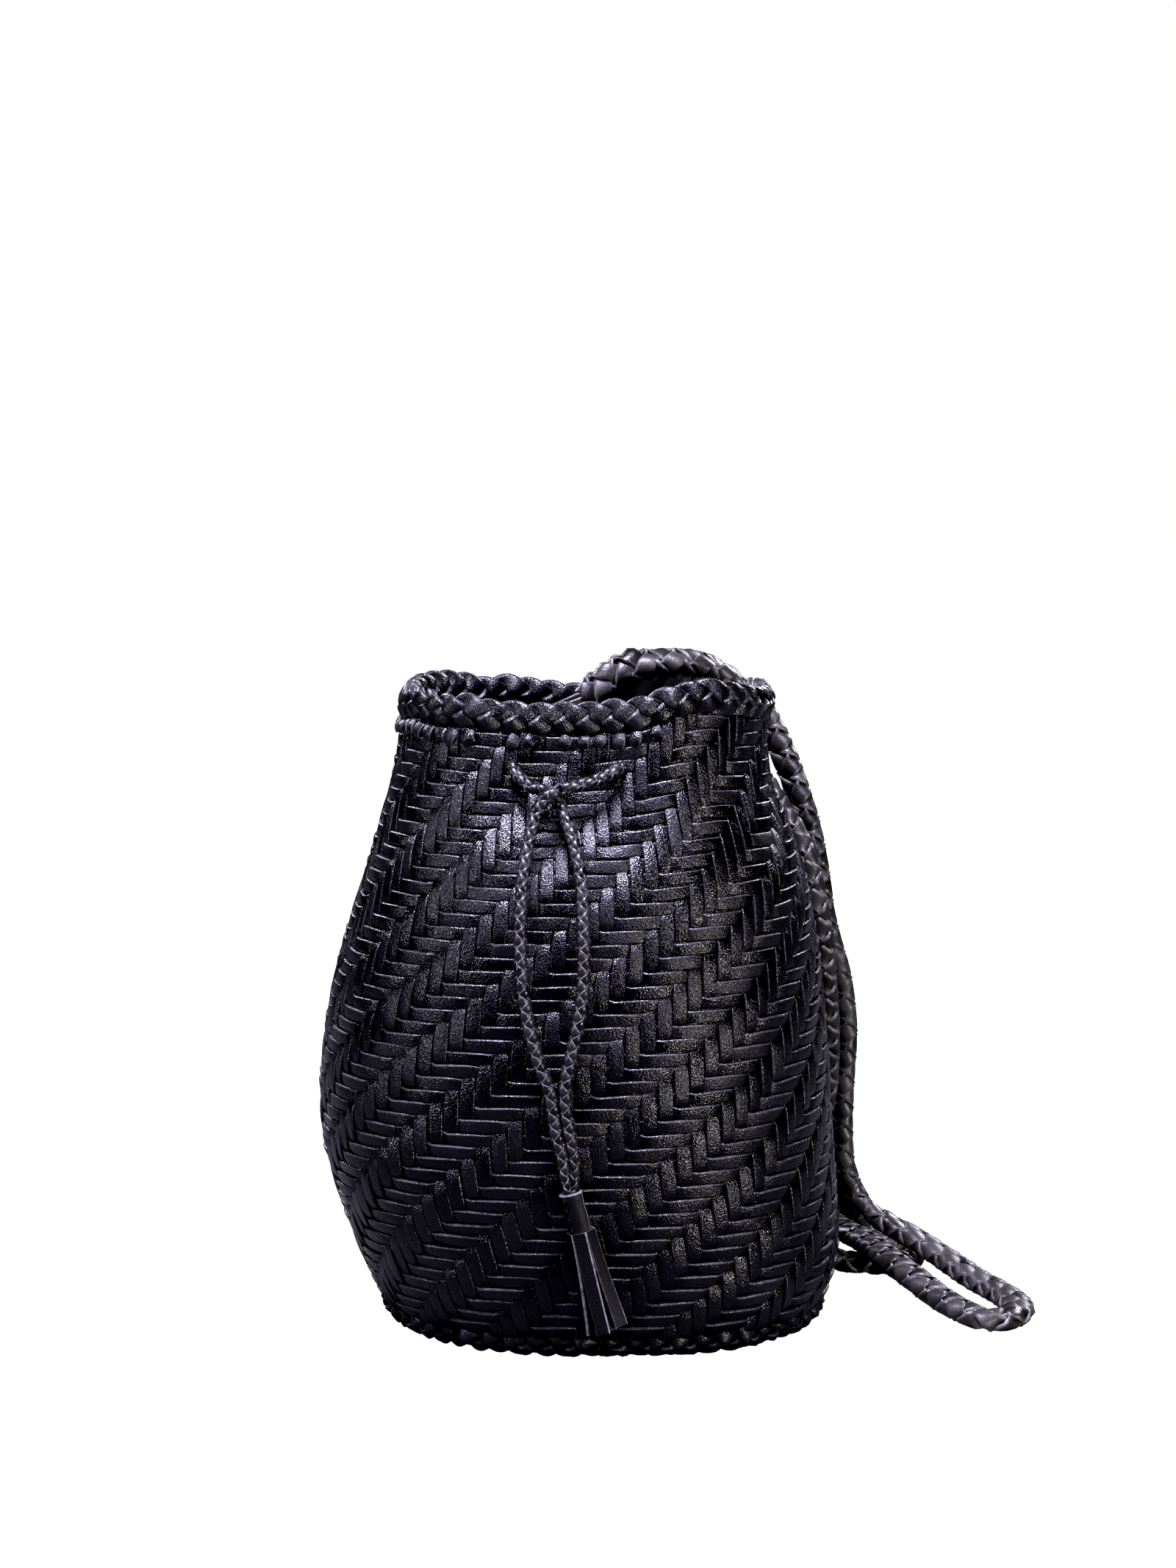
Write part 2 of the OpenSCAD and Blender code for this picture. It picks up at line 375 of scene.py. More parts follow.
class Board:
    """Adds nodes to one node tree and joins them."""

    def __init__(self, tree: bpy.types.NodeTree) -> None:
        """Starts from an empty tree.

        Args:
            tree: The tree to draw in.
        """
        self.tree = tree
        tree.nodes.clear()

    def add(self, kind: str, settings: dict | None = None, **inputs) -> bpy.types.Node:
        """Adds a node.

        Args:
            kind: The node's type.
            settings: Values of the node's own properties.
            inputs: What goes in each input, by its name with _ for a space: a value or
                another node's output.

        Returns:
            The new node.
        """
        node = self.tree.nodes.new(kind)
        for label, value in (settings or {}).items():
            setattr(node, label, value)
        for label, value in inputs.items():
            position = label.strip("_")
            socket = (
                node.inputs[int(position)]
                if position.isdigit()
                else node.inputs[position.replace("_", " ")]
            )
            if isinstance(value, bpy.types.NodeSocket):
                self.tree.links.new(value, socket)
            else:
                socket.default_value = value
        return node

    def sum(
        self, operation: str, first: object, second: object, clamp: bool = False
    ) -> bpy.types.NodeSocket:
        """Adds a Math node.

        Args:
            operation: What it does, such as MULTIPLY.
            first: A number or another node's output.
            second: A number or another node's output.
            clamp: Whether the answer is kept from 0 to 1.

        Returns:
            The answer's socket.
        """
        settings = {"operation": operation, "use_clamp": clamp}
        return self.add("ShaderNodeMath", settings, _0_=first, _1_=second).outputs[0]

    def noise(
        self, vector: object, scale: object, detail: float, roughness: float = 0.5
    ) -> bpy.types.NodeSocket:
        """Adds a noise pattern.

        Args:
            vector: Where the pattern is read.
            scale: How many features it has in a metre.
            detail: How many finer layers it has.
            roughness: How strong the finer layers are.

        Returns:
            The socket of its grey value.
        """
        inputs = {"Scale": scale, "Detail": detail, "Roughness": roughness}
        return self.add("ShaderNodeTexNoise", Vector=vector, **inputs).outputs["Fac"]

    def spread(
        self, value: object, low: float, high: float, lowest: object, highest: object
    ) -> bpy.types.NodeSocket:
        """Stretches a value from one range to another.

        Args:
            value: The socket to stretch.
            low: Where its range begins.
            high: Where its range ends.
            lowest: What low becomes.
            highest: What high becomes.

        Returns:
            The stretched value's socket.
        """
        ends = {"From_Min": low, "From_Max": high, "To_Min": lowest, "To_Max": highest}
        return self.add("ShaderNodeMapRange", Value=value, **ends).outputs[0]

    def mix(self, share: float, first: object, second: object) -> bpy.types.NodeSocket:
        """Mixes two numbers, of which share is how much of the second."""
        inputs = {"Factor": share, "_2_": first, "_3_": second}
        return self.add("ShaderNodeMix", {"data_type": "FLOAT"}, **inputs).outputs[0]

    def mix_colours(
        self, share: object, first: object, second: object
    ) -> bpy.types.NodeSocket:
        """Mixes two colours, of which share is how much of the second."""
        inputs = {"Factor": share, "_6_": first, "_7_": second}
        return self.add("ShaderNodeMix", {"data_type": "RGBA"}, **inputs).outputs[2]

    def group(self, tree: bpy.types.NodeTree, **inputs) -> object:
        """Places a node group and gives its outputs."""
        return self.add("ShaderNodeGroup", {"node_tree": tree}, **inputs).outputs


def shared_group(
    name: str, takes: dict, gives: dict, draw: Callable[[Board, object], dict]
) -> bpy.types.NodeTree:
    """Gives a shader node group with named sockets, drawn the first time it is wanted.

    Args:
        name: The group's name.
        takes: Input names and their default values.
        gives: Output names and their socket types.
        draw: Draws the nodes between, and gives the socket that feeds each output.

    Returns:
        The group.
    """
    found = bpy.data.node_groups.get(name)
    if found:
        return found
    tree = bpy.data.node_groups.new(name, "ShaderNodeTree")
    board = Board(tree)
    for label, value in takes.items():
        kind = "NodeSocketFloat"
        if isinstance(value, tuple):
            kind = "NodeSocketColor" if len(value) == 4 else "NodeSocketVector"
        socket = tree.interface.new_socket(label, in_out="INPUT", socket_type=kind)
        socket.default_value = value
    for label, kind in gives.items():
        tree.interface.new_socket(label, in_out="OUTPUT", socket_type=kind)
    drawn = draw(board, board.add("NodeGroupInput").outputs)
    leave = board.add("NodeGroupOutput")
    for label, socket in drawn.items():
        tree.links.new(socket, leave.inputs[label])
    return tree


def draw_grain(board: Board, entry: object) -> dict:
    """Draws pores, fine wrinkles and patches of different sheen.

    Args:
        board: The group's board.
        entry: The group's inputs.

    Returns:
        The socket for each output.
    """
    vector = entry["Vector"]
    cells = board.add(
        "ShaderNodeTexVoronoi",
        {"feature": "SMOOTH_F1"},
        Vector=vector,
        Scale=board.sum("DIVIDE", 1.0, entry["Pore Size"]),
        Smoothness=0.6,
    )
    wrinkles = board.sum("DIVIDE", 1.0, entry["Wrinkle Size"])
    folds = board.noise(vector, wrinkles, 5.0, 0.62)
    clouds = board.noise(vector, CLOUD_SCALE, 3.0)
    specks = board.noise(vector, SPECK_SCALE, 2.0)
    return {
        "Height": board.mix(0.55, cells.outputs["Distance"], folds),
        "Sheen Patches": board.mix(0.5, clouds, specks),
    }


def grain_group() -> bpy.types.NodeTree:
    """Makes the group that draws pores and fine wrinkles in a hide."""
    takes = {"Vector": (0.0, 0.0, 0.0), "Pore Size": 0.0007, "Wrinkle Size": 0.004}
    gives = {"Height": "NodeSocketFloat", "Sheen Patches": "NodeSocketFloat"}
    return shared_group("hide_grain", takes, gives, draw_grain)


def draw_rubbing(board: Board, entry: object) -> dict:
    """Draws the broken line along which a cut edge is rubbed pale.

    Args:
        board: The group's board.
        entry: The group's inputs.

    Returns:
        The socket for each output.
    """
    broken = board.noise(entry["Vector"], RUB_SCALE, 4.0)
    share = board.spread(broken, 0.32, 0.62, 0.35, 1.0)
    mask = board.sum("MULTIPLY", entry["Cut Edge"], share)
    return {"Mask": board.sum("MULTIPLY", mask, entry["Rubbing"], clamp=True)}


def rubbing_group() -> bpy.types.NodeTree:
    """Makes the group that finds where cut edges are rubbed pale."""
    takes = {"Cut Edge": 0.0, "Vector": (0.0, 0.0, 0.0), "Rubbing": 0.5}
    return shared_group("rubbed_edge", takes, {"Mask": "NodeSocketFloat"}, draw_rubbing)


def draw_dye_and_shade(board: Board, entry: object) -> dict:
    """Draws dye that took unevenly, together with the painted shade that the strip tone carries.

    Args:
        board: The group's board.
        entry: The group's inputs.

    Returns:
        The socket for each output.
    """
    cloud = board.noise(entry["Vector"], DYE_SCALE, 6.0, 0.75)
    share = board.spread(board.sum("ADD", entry["Strip Tone"], cloud), 0.45, 1.5, 0.0, 1.0)
    return {"Color": board.mix_colours(share, entry["Dark"], entry["Light"])}


def dye_and_shade_group() -> bpy.types.NodeTree:
    """Makes the group that varies the dye from strip to strip and along each strip, and paints in
    the shade that the strip tone carries.
    """
    takes = {
        "Dark": (0.0, 0.0, 0.0, 1.0),
        "Light": (0.0, 0.0, 0.0, 1.0),
        # Strip Tone carries a random tone and, on the woven strips, painted shade at the float
        # ends.
        "Strip Tone": 0.5,
        "Vector": (0.0, 0.0, 0.0),
    }
    return shared_group("uneven_dye_and_shade", takes, {"Color": "NodeSocketColor"}, draw_dye_and_shade)


@dataclass(frozen=True)
class Leather:
    """The look of one dyed leather."""

    name: str
    dark: tuple = (0.0006, 0.00055, 0.0008, 1.0)
    light: tuple = (0.0055, 0.0052, 0.0066, 1.0)
    edge: tuple = (0.08, 0.077, 0.09, 1.0)
    gloss: tuple = (0.95, 0.93, 1.0, 1.0)
    smooth: float = 0.2
    rough: float = 0.42
    shine: float = 0.5
    rubbing: float = 0.75
    pore_size: float = 0.00055
    wrinkle_size: float = 0.0028
    relief: float = 0.62
    grain_depth: float = 0.0007
    strip_share: float = 0.4

    def material(self) -> bpy.types.Material:
        """Makes the material, or gives the one made before."""
        found = bpy.data.materials.get(self.name)
        if found:
            return found
        material = bpy.data.materials.new(self.name)
        material.use_nodes = True
        board = Board(material.node_tree)
        here = board.add("ShaderNodeTexCoord").outputs["Object"]
        edge = board.add("ShaderNodeAttribute", {"attribute_name": "cut_edge"})
        # The strip tone holds a random tone and, on the woven strips, painted shade.
        tone = board.add("ShaderNodeAttribute", {"attribute_name": "strip_tone_and_shade"})
        edge, tone = edge.outputs["Fac"], tone.outputs["Fac"]
        sizes = {"Pore_Size": self.pore_size, "Wrinkle_Size": self.wrinkle_size}
        grain = board.group(grain_group(), Vector=here, **sizes)
        rubbed = board.group(
            rubbing_group(), Cut_Edge=edge, Vector=here, Rubbing=self.rubbing
        )
        dyes = {"Dark": self.dark, "Light": self.light}
        # The dye colour also holds painted shade, darker at the float ends, from the strip tone.
        dye_and_shade = board.group(dye_and_shade_group(), Strip_Tone=tone, Vector=here, **dyes)
        colour = board.mix_colours(rubbed["Mask"], dye_and_shade["Color"], self.edge)
        worn = board.mix(self.strip_share, grain["Sheen Patches"], tone)
        roughness = board.spread(worn, 0.25, 0.75, self.smooth, self.rough)
        relief = board.add(
            "ShaderNodeBump",
            Strength=self.relief,
            Distance=self.grain_depth,
            Height=grain["Height"],
        )
        shader = board.add(
            "ShaderNodeBsdfPrincipled",
            Base_Color=colour,
            Roughness=roughness,
            Specular_IOR_Level=self.shine,
            Specular_Tint=self.gloss,
            Normal=relief.outputs["Normal"],
        )
        board.add("ShaderNodeOutputMaterial", Surface=shader.outputs["BSDF"])
        return material


# ---------------------------------------------------------------- the bag's shape


@dataclass(frozen=True)
class BagShape:
    """The bulging wall of the bag: its plan at each height, its pinched and waved rim."""

    heights: tuple = (0, 8, 25, 70, 120, 165, 200, 233)
    half_widths: tuple = (76, 82, 88.5, 94, 90.5, 80.5, 69, 66)
    half_depths: tuple = (75, 80, 86, 91, 88, 79, 66, 60)
    shifts: tuple = (10, 10, 8, 0, 0, 3, 1.5, 4)
    plan_power: float = 2.4
    front_pinch: float = 10.0
    back_pinch: float = 5.0
    pinch_place: float = -6.0
    pinch_width: float = 30.0
    rim_height: float = 233.0
    rim_lift: tuple = (0.5, -1.5, -4.5, -5, -2, 1, 0.5, 1.5, 0.5, -1.8, 6.5, 3.5)
    wave_from: float = 150.0
    ripple: float = 0.55
    ripple_from: float = 200.0
    ripple_over: float = 30.0
    pinch_from: float = 160.0
    pinch_over: float = 50.0
    front_spread: float = 0.13
    spread_from: float = 130.0
    spread_over: float = 70.0
    belly_height: float = 80.0

    def profile(self, height: np.ndarray, column: tuple) -> np.ndarray:
        """Reads one measure of the wall at any height.

        Args:
            height: Heights above the floor, in millimetres.
            column: The measure at each of the listed heights.

        Returns:
            The measure at the wanted heights, in millimetres.
        """
        rows = np.array(self.heights, float)
        values = np.array(column, float)
        ahead = np.minimum(np.arange(len(rows)) + 1, len(rows) - 1)
        back = np.maximum(np.arange(len(rows)) - 1, 0)
        slope = (values[ahead] - values[back]) / (rows[ahead] - rows[back])
        place_in = np.clip(np.searchsorted(rows, height, side="right") - 1, 0, None)
        low = np.minimum(place_in, len(rows) - 2)
        gap = rows[low + 1] - rows[low]
        share = np.clip((height - rows[low]) / gap, 0, 1)
        square, cube = share**2, share**3
        return (
            (2 * cube - 3 * square + 1) * values[low]
            + (cube - 2 * square + share) * slope[low] * gap
            + (3 * square - 2 * cube) * values[low + 1]
            + (cube - square) * slope[low + 1] * gap
        )

    def wave(self, turn: np.ndarray) -> np.ndarray:
        """Gives the rim's rise above its mean height.

        Args:
            turn: Angle round the bag in radians.

        Returns:
            Heights in millimetres.
        """
        lifts = np.array(self.rim_lift, float)
        place_on = turn * len(lifts) / (2 * math.pi)
        first = np.floor(place_on).astype(int)
        part = place_on - first
        a, b, c, d = (lifts[(first + step) % len(lifts)] for step in (-1, 0, 1, 2))
        cubic = 2 * a - 5 * b + 4 * c - d + part * (3 * (b - c) + d - a)
        return b + part / 2 * (c - a + part * cubic)

    def point(self, turn: np.ndarray, height: np.ndarray, inset: np.ndarray) -> np.ndarray:
        """Finds points of the wall.

        Args:
            turn: Angle round the bag in radians, 0 at the right and 90 degrees behind.
            height: Height up the wall, in millimetres.
            inset: How far inside the outer face, in millimetres.

        Returns:
            Points in metres.
        """
        turn, height, inset = np.broadcast_arrays(turn, height, inset)
        power = 2 / self.plan_power
        round_x = np.sign(np.cos(turn)) * np.abs(np.cos(turn)) ** power
        round_y = np.sign(np.sin(turn)) * np.abs(np.sin(turn)) ** power
        wide = self.profile(height, self.half_widths) - inset
        deep = self.profile(height, self.half_depths) - inset
        x = self.profile(height, self.shifts) + wide * round_x
        y = deep * round_y
        bell = np.exp(-(((x - self.pinch_place) / self.pinch_width) ** 2))
        push = np.where(y < 0, self.front_pinch, -self.back_pinch)
        pinched = ease((height - self.pinch_from) / self.pinch_over)
        y = y + pinched * bell * push * np.abs(round_y)
        waved = ease((height - self.wave_from) / (self.rim_height - self.wave_from))
        rippled = ease((height - self.ripple_from) / self.ripple_over)
        ripple = np.sin(7 * turn + 1) + 0.7 * np.sin(11 * turn)
        rise = waved * self.wave(turn) + rippled * self.ripple * ripple
        return np.stack([x, y, height + rise], axis=-1) * MM

    def normal(self, turn: np.ndarray, height: np.ndarray) -> np.ndarray:
        """Finds the outward direction of the wall.

        Args:
            turn: Angle round the bag in radians.
            height: Height up the wall, in millimetres.

        Returns:
            Unit vectors.
        """
        turn, height = np.broadcast_arrays(turn, height)
        step, rise = 0.004, 0.5
        round_wall = self.point(turn + step, height, 0) - self.point(turn - step, height, 0)
        up_wall = self.point(turn, height + rise, 0) - self.point(turn, height - rise, 0)
        return unit(np.cross(round_wall, up_wall))

    def turn_at(self, share: np.ndarray) -> np.ndarray:
        """Spaces angles evenly by length round the belly.

        Args:
            share: Share of the way round, from 0 to 1.

        Returns:
            Angles in radians.
        """
        turns = np.linspace(0, 2 * math.pi, 2881)
        places = self.point(turns, self.belly_height, 0)
        gaps = np.linalg.norm(np.diff(places, axis=0), axis=1)
        along = np.concatenate([[0], np.cumsum(gaps)])
        whole = np.floor(share)
        inside = np.interp((share - whole) * along[-1], along, turns)
        return inside + whole * 2 * math.pi

    def column_turn(self, share: np.ndarray, height: np.ndarray) -> np.ndarray:
        """Places upright strips, which spread out in front where the neck narrows.

        Args:
            share: Share of the way round, from 0 to 1.
            height: Height up the wall, in millimetres.

        Returns:
            Angles in radians.
        """
        turn = self.turn_at(share)
        neck = ease((height - self.spread_from) / self.spread_over)
        return turn + self.front_spread * neck * np.sin(turn - 1.5 * math.pi)


# ---------------------------------------------------------------- the woven wall


@dataclass(frozen=True)
class HandWork:
    """How unevenly the strips are laid, as most changes from one float to the next.

    Shifts and insets are in millimetres, slants of the face and tones are shares. The tone fields
    also set the painted shade that darkens each float towards its ends.
    """

    slip: float = 0.26
    rise: float = 0.16
    slant: float = 0.3
    hoop_bulge: tuple = (0.12, 0.22)
    upright_bulge: tuple = (0.1, 0.2)
    face_down: float = 0.15
    tip: float = 0.12
    twist: float = 0.16
    upright_tip: float = 0.13
    upright_drift: float = 0.2
    width: float = 0.05
    tone: float = 0.45
    # Each float's mean tone, then how strongly painted shade darkens it towards its ends.
    hoop_tone_and_shade: tuple = (0.55, 0.5)
    upright_tone_and_shade: tuple = (0.5, 0.45)

    def calm(self, over: np.ndarray) -> np.ndarray:
        """Lets the unevenness show on the floats and die out where a strip dives under."""
        return ease((over + 0.2) / 1.2)

    def bulge(self, limits: tuple, loose: np.ndarray) -> np.ndarray:
        """Gives how far a float stands out, in millimetres."""
        return limits[0] + limits[1] * loose

    def shade(self, limits: tuple, tone: np.ndarray, along: np.ndarray) -> np.ndarray:
        """Gives a float's tone, with painted shade that darkens it towards its ends, where it dives
        under its neighbours.
        """
        return limits[0] + self.tone * tone - limits[1] * along**2


@dataclass
class Weave:
    """The wall of the bag: hoops and upright strips in a three-over-three twill."""

    shape: BagShape
    columns: int = 102
    repeat: int = 6
    pitch: float = 4.72
    first_row: float = 10.65
    rows_above: int = 3
    hoops: int = 42
    depth: float = 1.3
    shift: float = 0.98
    warp_groups: int = 6
    warp_fill: float = 0.92
    pinch: float = 0.16
    stations: tuple = (-0.5, -0.17, 0.17)
    foot_rows: tuple = (-1.25, -0.85)
    tail_rows: tuple = (0.5, 1.0, 1.9)
    tail_inset: float = 1.6
    draws: int = 40
    hand: HandWork = HandWork()
    weft_cut: StripCut = StripCut(4.5 * MM, 1.25 * MM, 0.14 * MM, 0.16 * MM, 0.32 * MM)
    warp_cut: StripCut = StripCut(5.3 * MM, 1.25 * MM, 0.14 * MM, 0.16 * MM, 0.2 * MM)
    weft_leather: Leather = Leather("black_weft_leather")
    warp_leather: Leather = Leather("black_warp_leather", smooth=0.19, rough=0.38, rubbing=0.3)

    def place_in_float(self, column: np.ndarray, row: np.ndarray) -> np.ndarray:
        """Says how far along its float a place on a strip is.

        Args:
            column: Place round the bag, counted in upright strips.
            row: Number of the hoop.

        Returns:
            Numbers from -1 at one end of the float to 1 at the other.
        """
        phase = np.mod(column - row + 0.5, self.repeat / 2)
        return phase / (self.repeat / 4) - 1

    def over(self, column: np.ndarray, row: np.ndarray) -> np.ndarray:
        """Says how far a hoop lies over (1) or under (-1) the upright strips.

        Args:
            column: Place round the bag, counted in upright strips.
            row: Number of the hoop.

        Returns:
            Numbers from -1 to 1.
        """
        phase = np.mod(column - row + 0.5, self.repeat)
        side = np.where(phase < self.repeat / 2, 1.0, -1.0)
        along = np.abs(self.place_in_float(column, row))
        edge = ease((1 - along) * self.repeat / 4 / 0.45)
        return side * (0.56 * edge + 0.44 * (1 - along**2))

    def height(self, row: np.ndarray) -> np.ndarray:
        """Gives the height of a hoop's middle, in millimetres.

        Args:
            row: Number of the hoop, 0 for the first listed one.

        Returns:
            Heights in millimetres.
        """
        return self.first_row + self.pitch * row

    def hoop(self, row: int, name: str) -> bpy.types.Object:
        """Weaves one hoop.

        Args:
            row: Number of the hoop.
            name: The piece's name.

        Returns:
            The piece.
        """
        chance = np.random.RandomState(900 + row)
        hand = self.hand
        columns = (np.arange(self.columns)[:, None] + np.array(self.stations)).ravel()
        over = self.over(columns, np.array(row))
        along = self.place_in_float(columns, np.array(row)) * np.sign(over)
        floats = np.floor((columns - row + 0.5) / 3).astype(int) % (self.columns // 3)
        picked = chance.uniform(-1, 1, (6, self.columns // 3))
        loose, tip, tone, slip, slant, twist = (values[floats] for values in picked)
        calm = hand.calm(over)
        shift = hand.slip * slip + (hand.rise + hand.slant * slant) * along
        height = self.height(row) + shift * calm
        turn = self.shape.column_turn(columns / self.columns, height)
        inset = self.depth - self.shift * over - hand.bulge(hand.hoop_bulge, loose) * calm
        centres = self.shape.point(turn, height, inset)
        facing = self.shape.normal(turn, height)
        lean = hand.face_down + (hand.tip * tip + hand.twist * twist * along) * calm
        facing = facing + np.array([0.0, 0.0, -1.0]) * lean[:, None]
        pinched = 1 - self.pinch * np.abs(along) ** 3
        widths = self.weft_cut.width * (1 + hand.width * tone) * pinched
        strip = StripMesh(name)
        # Painted shade: the tone falls off towards the ends of each float.
        shade = hand.shade(hand.hoop_tone_and_shade, tone, along)
        strip.sweep(centres, facing, self.weft_cut, widths, shade, closed=True)
        return strip.finish()

    def uprights(self, group: int) -> bpy.types.Object:
        """Weaves one group of neighbouring upright strips.

        Args:
            group: Number of the group.

        Returns:
            The piece.
        """
        chance = np.random.RandomState(300 + group)
        strip = StripMesh(f"warp_group_{group + 1}")
        size = self.columns // self.warp_groups
        for column in range(group * size, (group + 1) * size):
            self.upright(strip, column, chance)
        return strip.finish()

    def upright(
        self, strip: StripMesh, column: int, chance: np.random.RandomState
    ) -> None:
        """Weaves one upright strip.

        Args:
            strip: The mesh that it is added to.
            column: Number of the strip, from the right of the bag.
            chance: Source of its small differences.
        """
        hand = self.hand
        highest = self.hoops + self.rows_above - 1
        rows = (np.arange(highest + 1)[:, None] + np.array(self.stations)).ravel()
        rows = np.concatenate([self.foot_rows, rows, highest + np.array(self.tail_rows)])
        inside = (rows > -0.6) & (rows < highest + 0.6)
        height = self.height(rows)
        here = np.full(len(rows), float(column))
        over = np.where(inside, -self.over(here, rows), -0.6)
        calm = hand.calm(over)
        floats = np.floor((here - rows + 0.5) / 3).astype(int)
        picked = chance.uniform(-1, 1, (4, self.draws))
        loose, lean, tone, drift = (values[floats % self.draws] for values in picked)
        turn = self.shape.column_turn(here / self.columns, height)
        inset = self.depth - self.shift * over - hand.bulge(hand.upright_bulge, loose) * calm
        inset = inset + np.where(rows > highest + 0.6, self.tail_inset, 0.0)
        centres = self.shape.point(turn, height, inset)
        facing = self.shape.normal(turn, height)
        sideways = np.cross(facing, np.array([0.0, 0.0, 1.0]))
        facing = facing + sideways * (hand.upright_tip * lean * calm)[:, None]
        centres = centres + sideways * (hand.upright_drift * MM * drift * calm)[:, None]
        beside = self.shape.column_turn((here + 1) / self.columns, height)
        step = self.shape.point(beside, height, 0) - self.shape.point(turn, height, 0)
        room = np.linalg.norm(step, axis=1)
        along = self.place_in_float(here, rows)
        pinched = 1 - self.pinch * np.abs(along) ** 3
        widths = np.minimum(self.warp_cut.width, room * self.warp_fill) * pinched
        # Painted shade: the tone falls off towards the ends of each float.
        shade = hand.shade(hand.upright_tone_and_shade, tone, along)
        strip.sweep(centres, facing, self.warp_cut, widths, shade)

    def build(self) -> None:
        """Weaves the whole wall."""
        for number in range(1, self.hoops + 1):
            name = f"weft_{number:02d}"
            piece = self.hoop(number - 1, f"woven_{name}")
            place(piece, Body.BAG, Slot.WEFT, self.weft_leather, (name,))
        for number in range(1, self.rows_above + 1):
            piece = self.hoop(self.hoops - 1 + number, f"top_weft_{number}")
            place(piece, Body.BAG, Slot.WEFT, self.weft_leather, ("rim_tabs",))
        for group in range(self.warp_groups):
            piece = self.uprights(group)
            place(piece, Body.BAG, Slot.WARP, self.warp_leather, ("warp_strips",))


# ---------------------------------------------------------------- plaits


@dataclass
class Plait:
    """A flat three-strand plait that runs round the bag as an endless border."""

    shape: BagShape
    name: str
    nodes: tuple
    height: float
    inset: float
    lean: float
    reach: float
    swell: float
    periods: int
    cut: StrandCut
    seed: int
    unevenness: float = 0.12
    stations: int = 22
    crease: float = 50.0
    leather: Leather = Leather(
        "black_border_leather",
        light=(0.010, 0.0096, 0.0115, 1.0), smooth=0.24, rough=0.45, rubbing=0.7, relief=0.5,
    )

    def line(self, share: np.ndarray) -> tuple[np.ndarray, np.ndarray, np.ndarray]:
        """Finds the plait's middle line.

        Args:
            share: Share of the way round, from 0 to 1.

        Returns:
            Points in metres, outward directions and directions up the plait.
        """
        turns = np.linspace(0, 2 * math.pi, 1441)
        places = self.shape.point(turns, self.height, self.inset)
        gaps = np.linalg.norm(np.diff(places, axis=0), axis=1)
        along = np.concatenate([[0], np.cumsum(gaps)])
        turn = np.interp(np.mod(share, 1.0) * along[-1], along, turns)
        centre = self.shape.point(turn, self.height, self.inset)
        normal = self.shape.normal(turn, np.full(len(turn), self.height))
        flat = unit(normal * np.array([1.0, 1.0, 0.0]))
        lean = math.radians(self.lean)
        upward = np.array([0.0, 0.0, 1.0])
        outward = flat * math.cos(lean) + upward * math.sin(lean)
        rising = upward * math.cos(lean) - flat * math.sin(lean)
        return centre, outward, rising

    def build(self) -> None:
        """Plaits the three strands."""
        samples = self.periods * self.stations
        share = np.arange(samples) / samples
        centre, outward, rising = self.line(share)
        chance = np.random.RandomState(self.seed)
        for strand in range(3):
            phase = 2 * math.pi * (share * self.periods + strand / 3)
            wave = chance.uniform(-1, 1, self.periods * 2)
            knots = np.arange(self.periods * 2 + 1) / (self.periods * 2)
            vary = np.interp(share, knots, np.append(wave, wave[0]))
            up = self.reach * (1 + 1.4 * self.unevenness * vary) * np.sin(phase)
            out = -self.swell * np.sin(2 * phase) * (1 + self.unevenness * vary)
            centres = centre + rising * up[:, None] + outward * out[:, None]
            tilt = (0.5 + 2 * self.unevenness * vary) * np.sin(phase) * (out / self.swell)
            facing = outward + rising * tilt[:, None]
            widths = np.full(samples, self.cut.width) * (1 + self.unevenness * vary)
            lowest = 0.44 * widths + 0.3 * self.cut.thickness
            centres[:, 2] = np.maximum(centres[:, 2], lowest)
            strip = StripMesh(f"{self.name}_strand_{strand + 1}")
            strip.sweep(
                centres, facing, self.cut, widths, 0.5 + 0.4 * vary, closed=True
            )
            place(strip.finish(self.crease), Body.BAG, Slot.BORDER, self.leather, self.nodes)


@dataclass
class RimTabs:
    """Short ends of the upright strips, turned over and cut off below the rim plait."""

    shape: BagShape
    count: int = 70
    top: float = 220.4
    length: float = 3.6
    missing: float = 0.3
    bare_from: float = 292.0
    bare_to: float = 350.0
    stands_out: tuple = (-0.6, -1.5, -1.9, -1.7, -1.2)
    taper: tuple = (1.0, 1.0, 1.0, 0.96, 0.88)
    cut: StripCut = StripCut(4.6 * MM, 1.3 * MM, 0.3 * MM, 0.16 * MM)
    leather: Leather = Leather("black_tab_leather", smooth=0.3, rough=0.5)

    def build(self) -> None:
        """Makes the ring of tabs, with none on the right of the front."""
        chance = np.random.RandomState(77)
        strip = StripMesh("turned_over_tabs")
        for number in range(self.count):
            share = (number + 0.5) / self.count
            slant, longer, stand, tone = chance.uniform(-1, 1, 4)
            steps = np.linspace(0, 1, 5)
            height = self.top - steps * (self.length + 1.3 * longer)
            turn = self.shape.turn_at(share + 0.005 * slant * steps)
            absent = chance.uniform() < self.missing
            if absent or self.bare_from < math.degrees(turn[0]) < self.bare_to:
                continue
            lift = np.array(self.stands_out) - 0.4 * stand
            centres = self.shape.point(turn, height, lift + 0.6)
            facing = self.shape.normal(turn, height)
            widths = self.cut.width * (1 + 0.12 * slant) * np.array(self.taper)
            strip.sweep(centres, facing, self.cut, widths, np.full(5, 0.5 + 0.5 * tone))
        place(strip.finish(), Body.BAG, Slot.BORDER, self.leather, ("rim_tabs",))


# ---------------------------------------------------------------- round braids


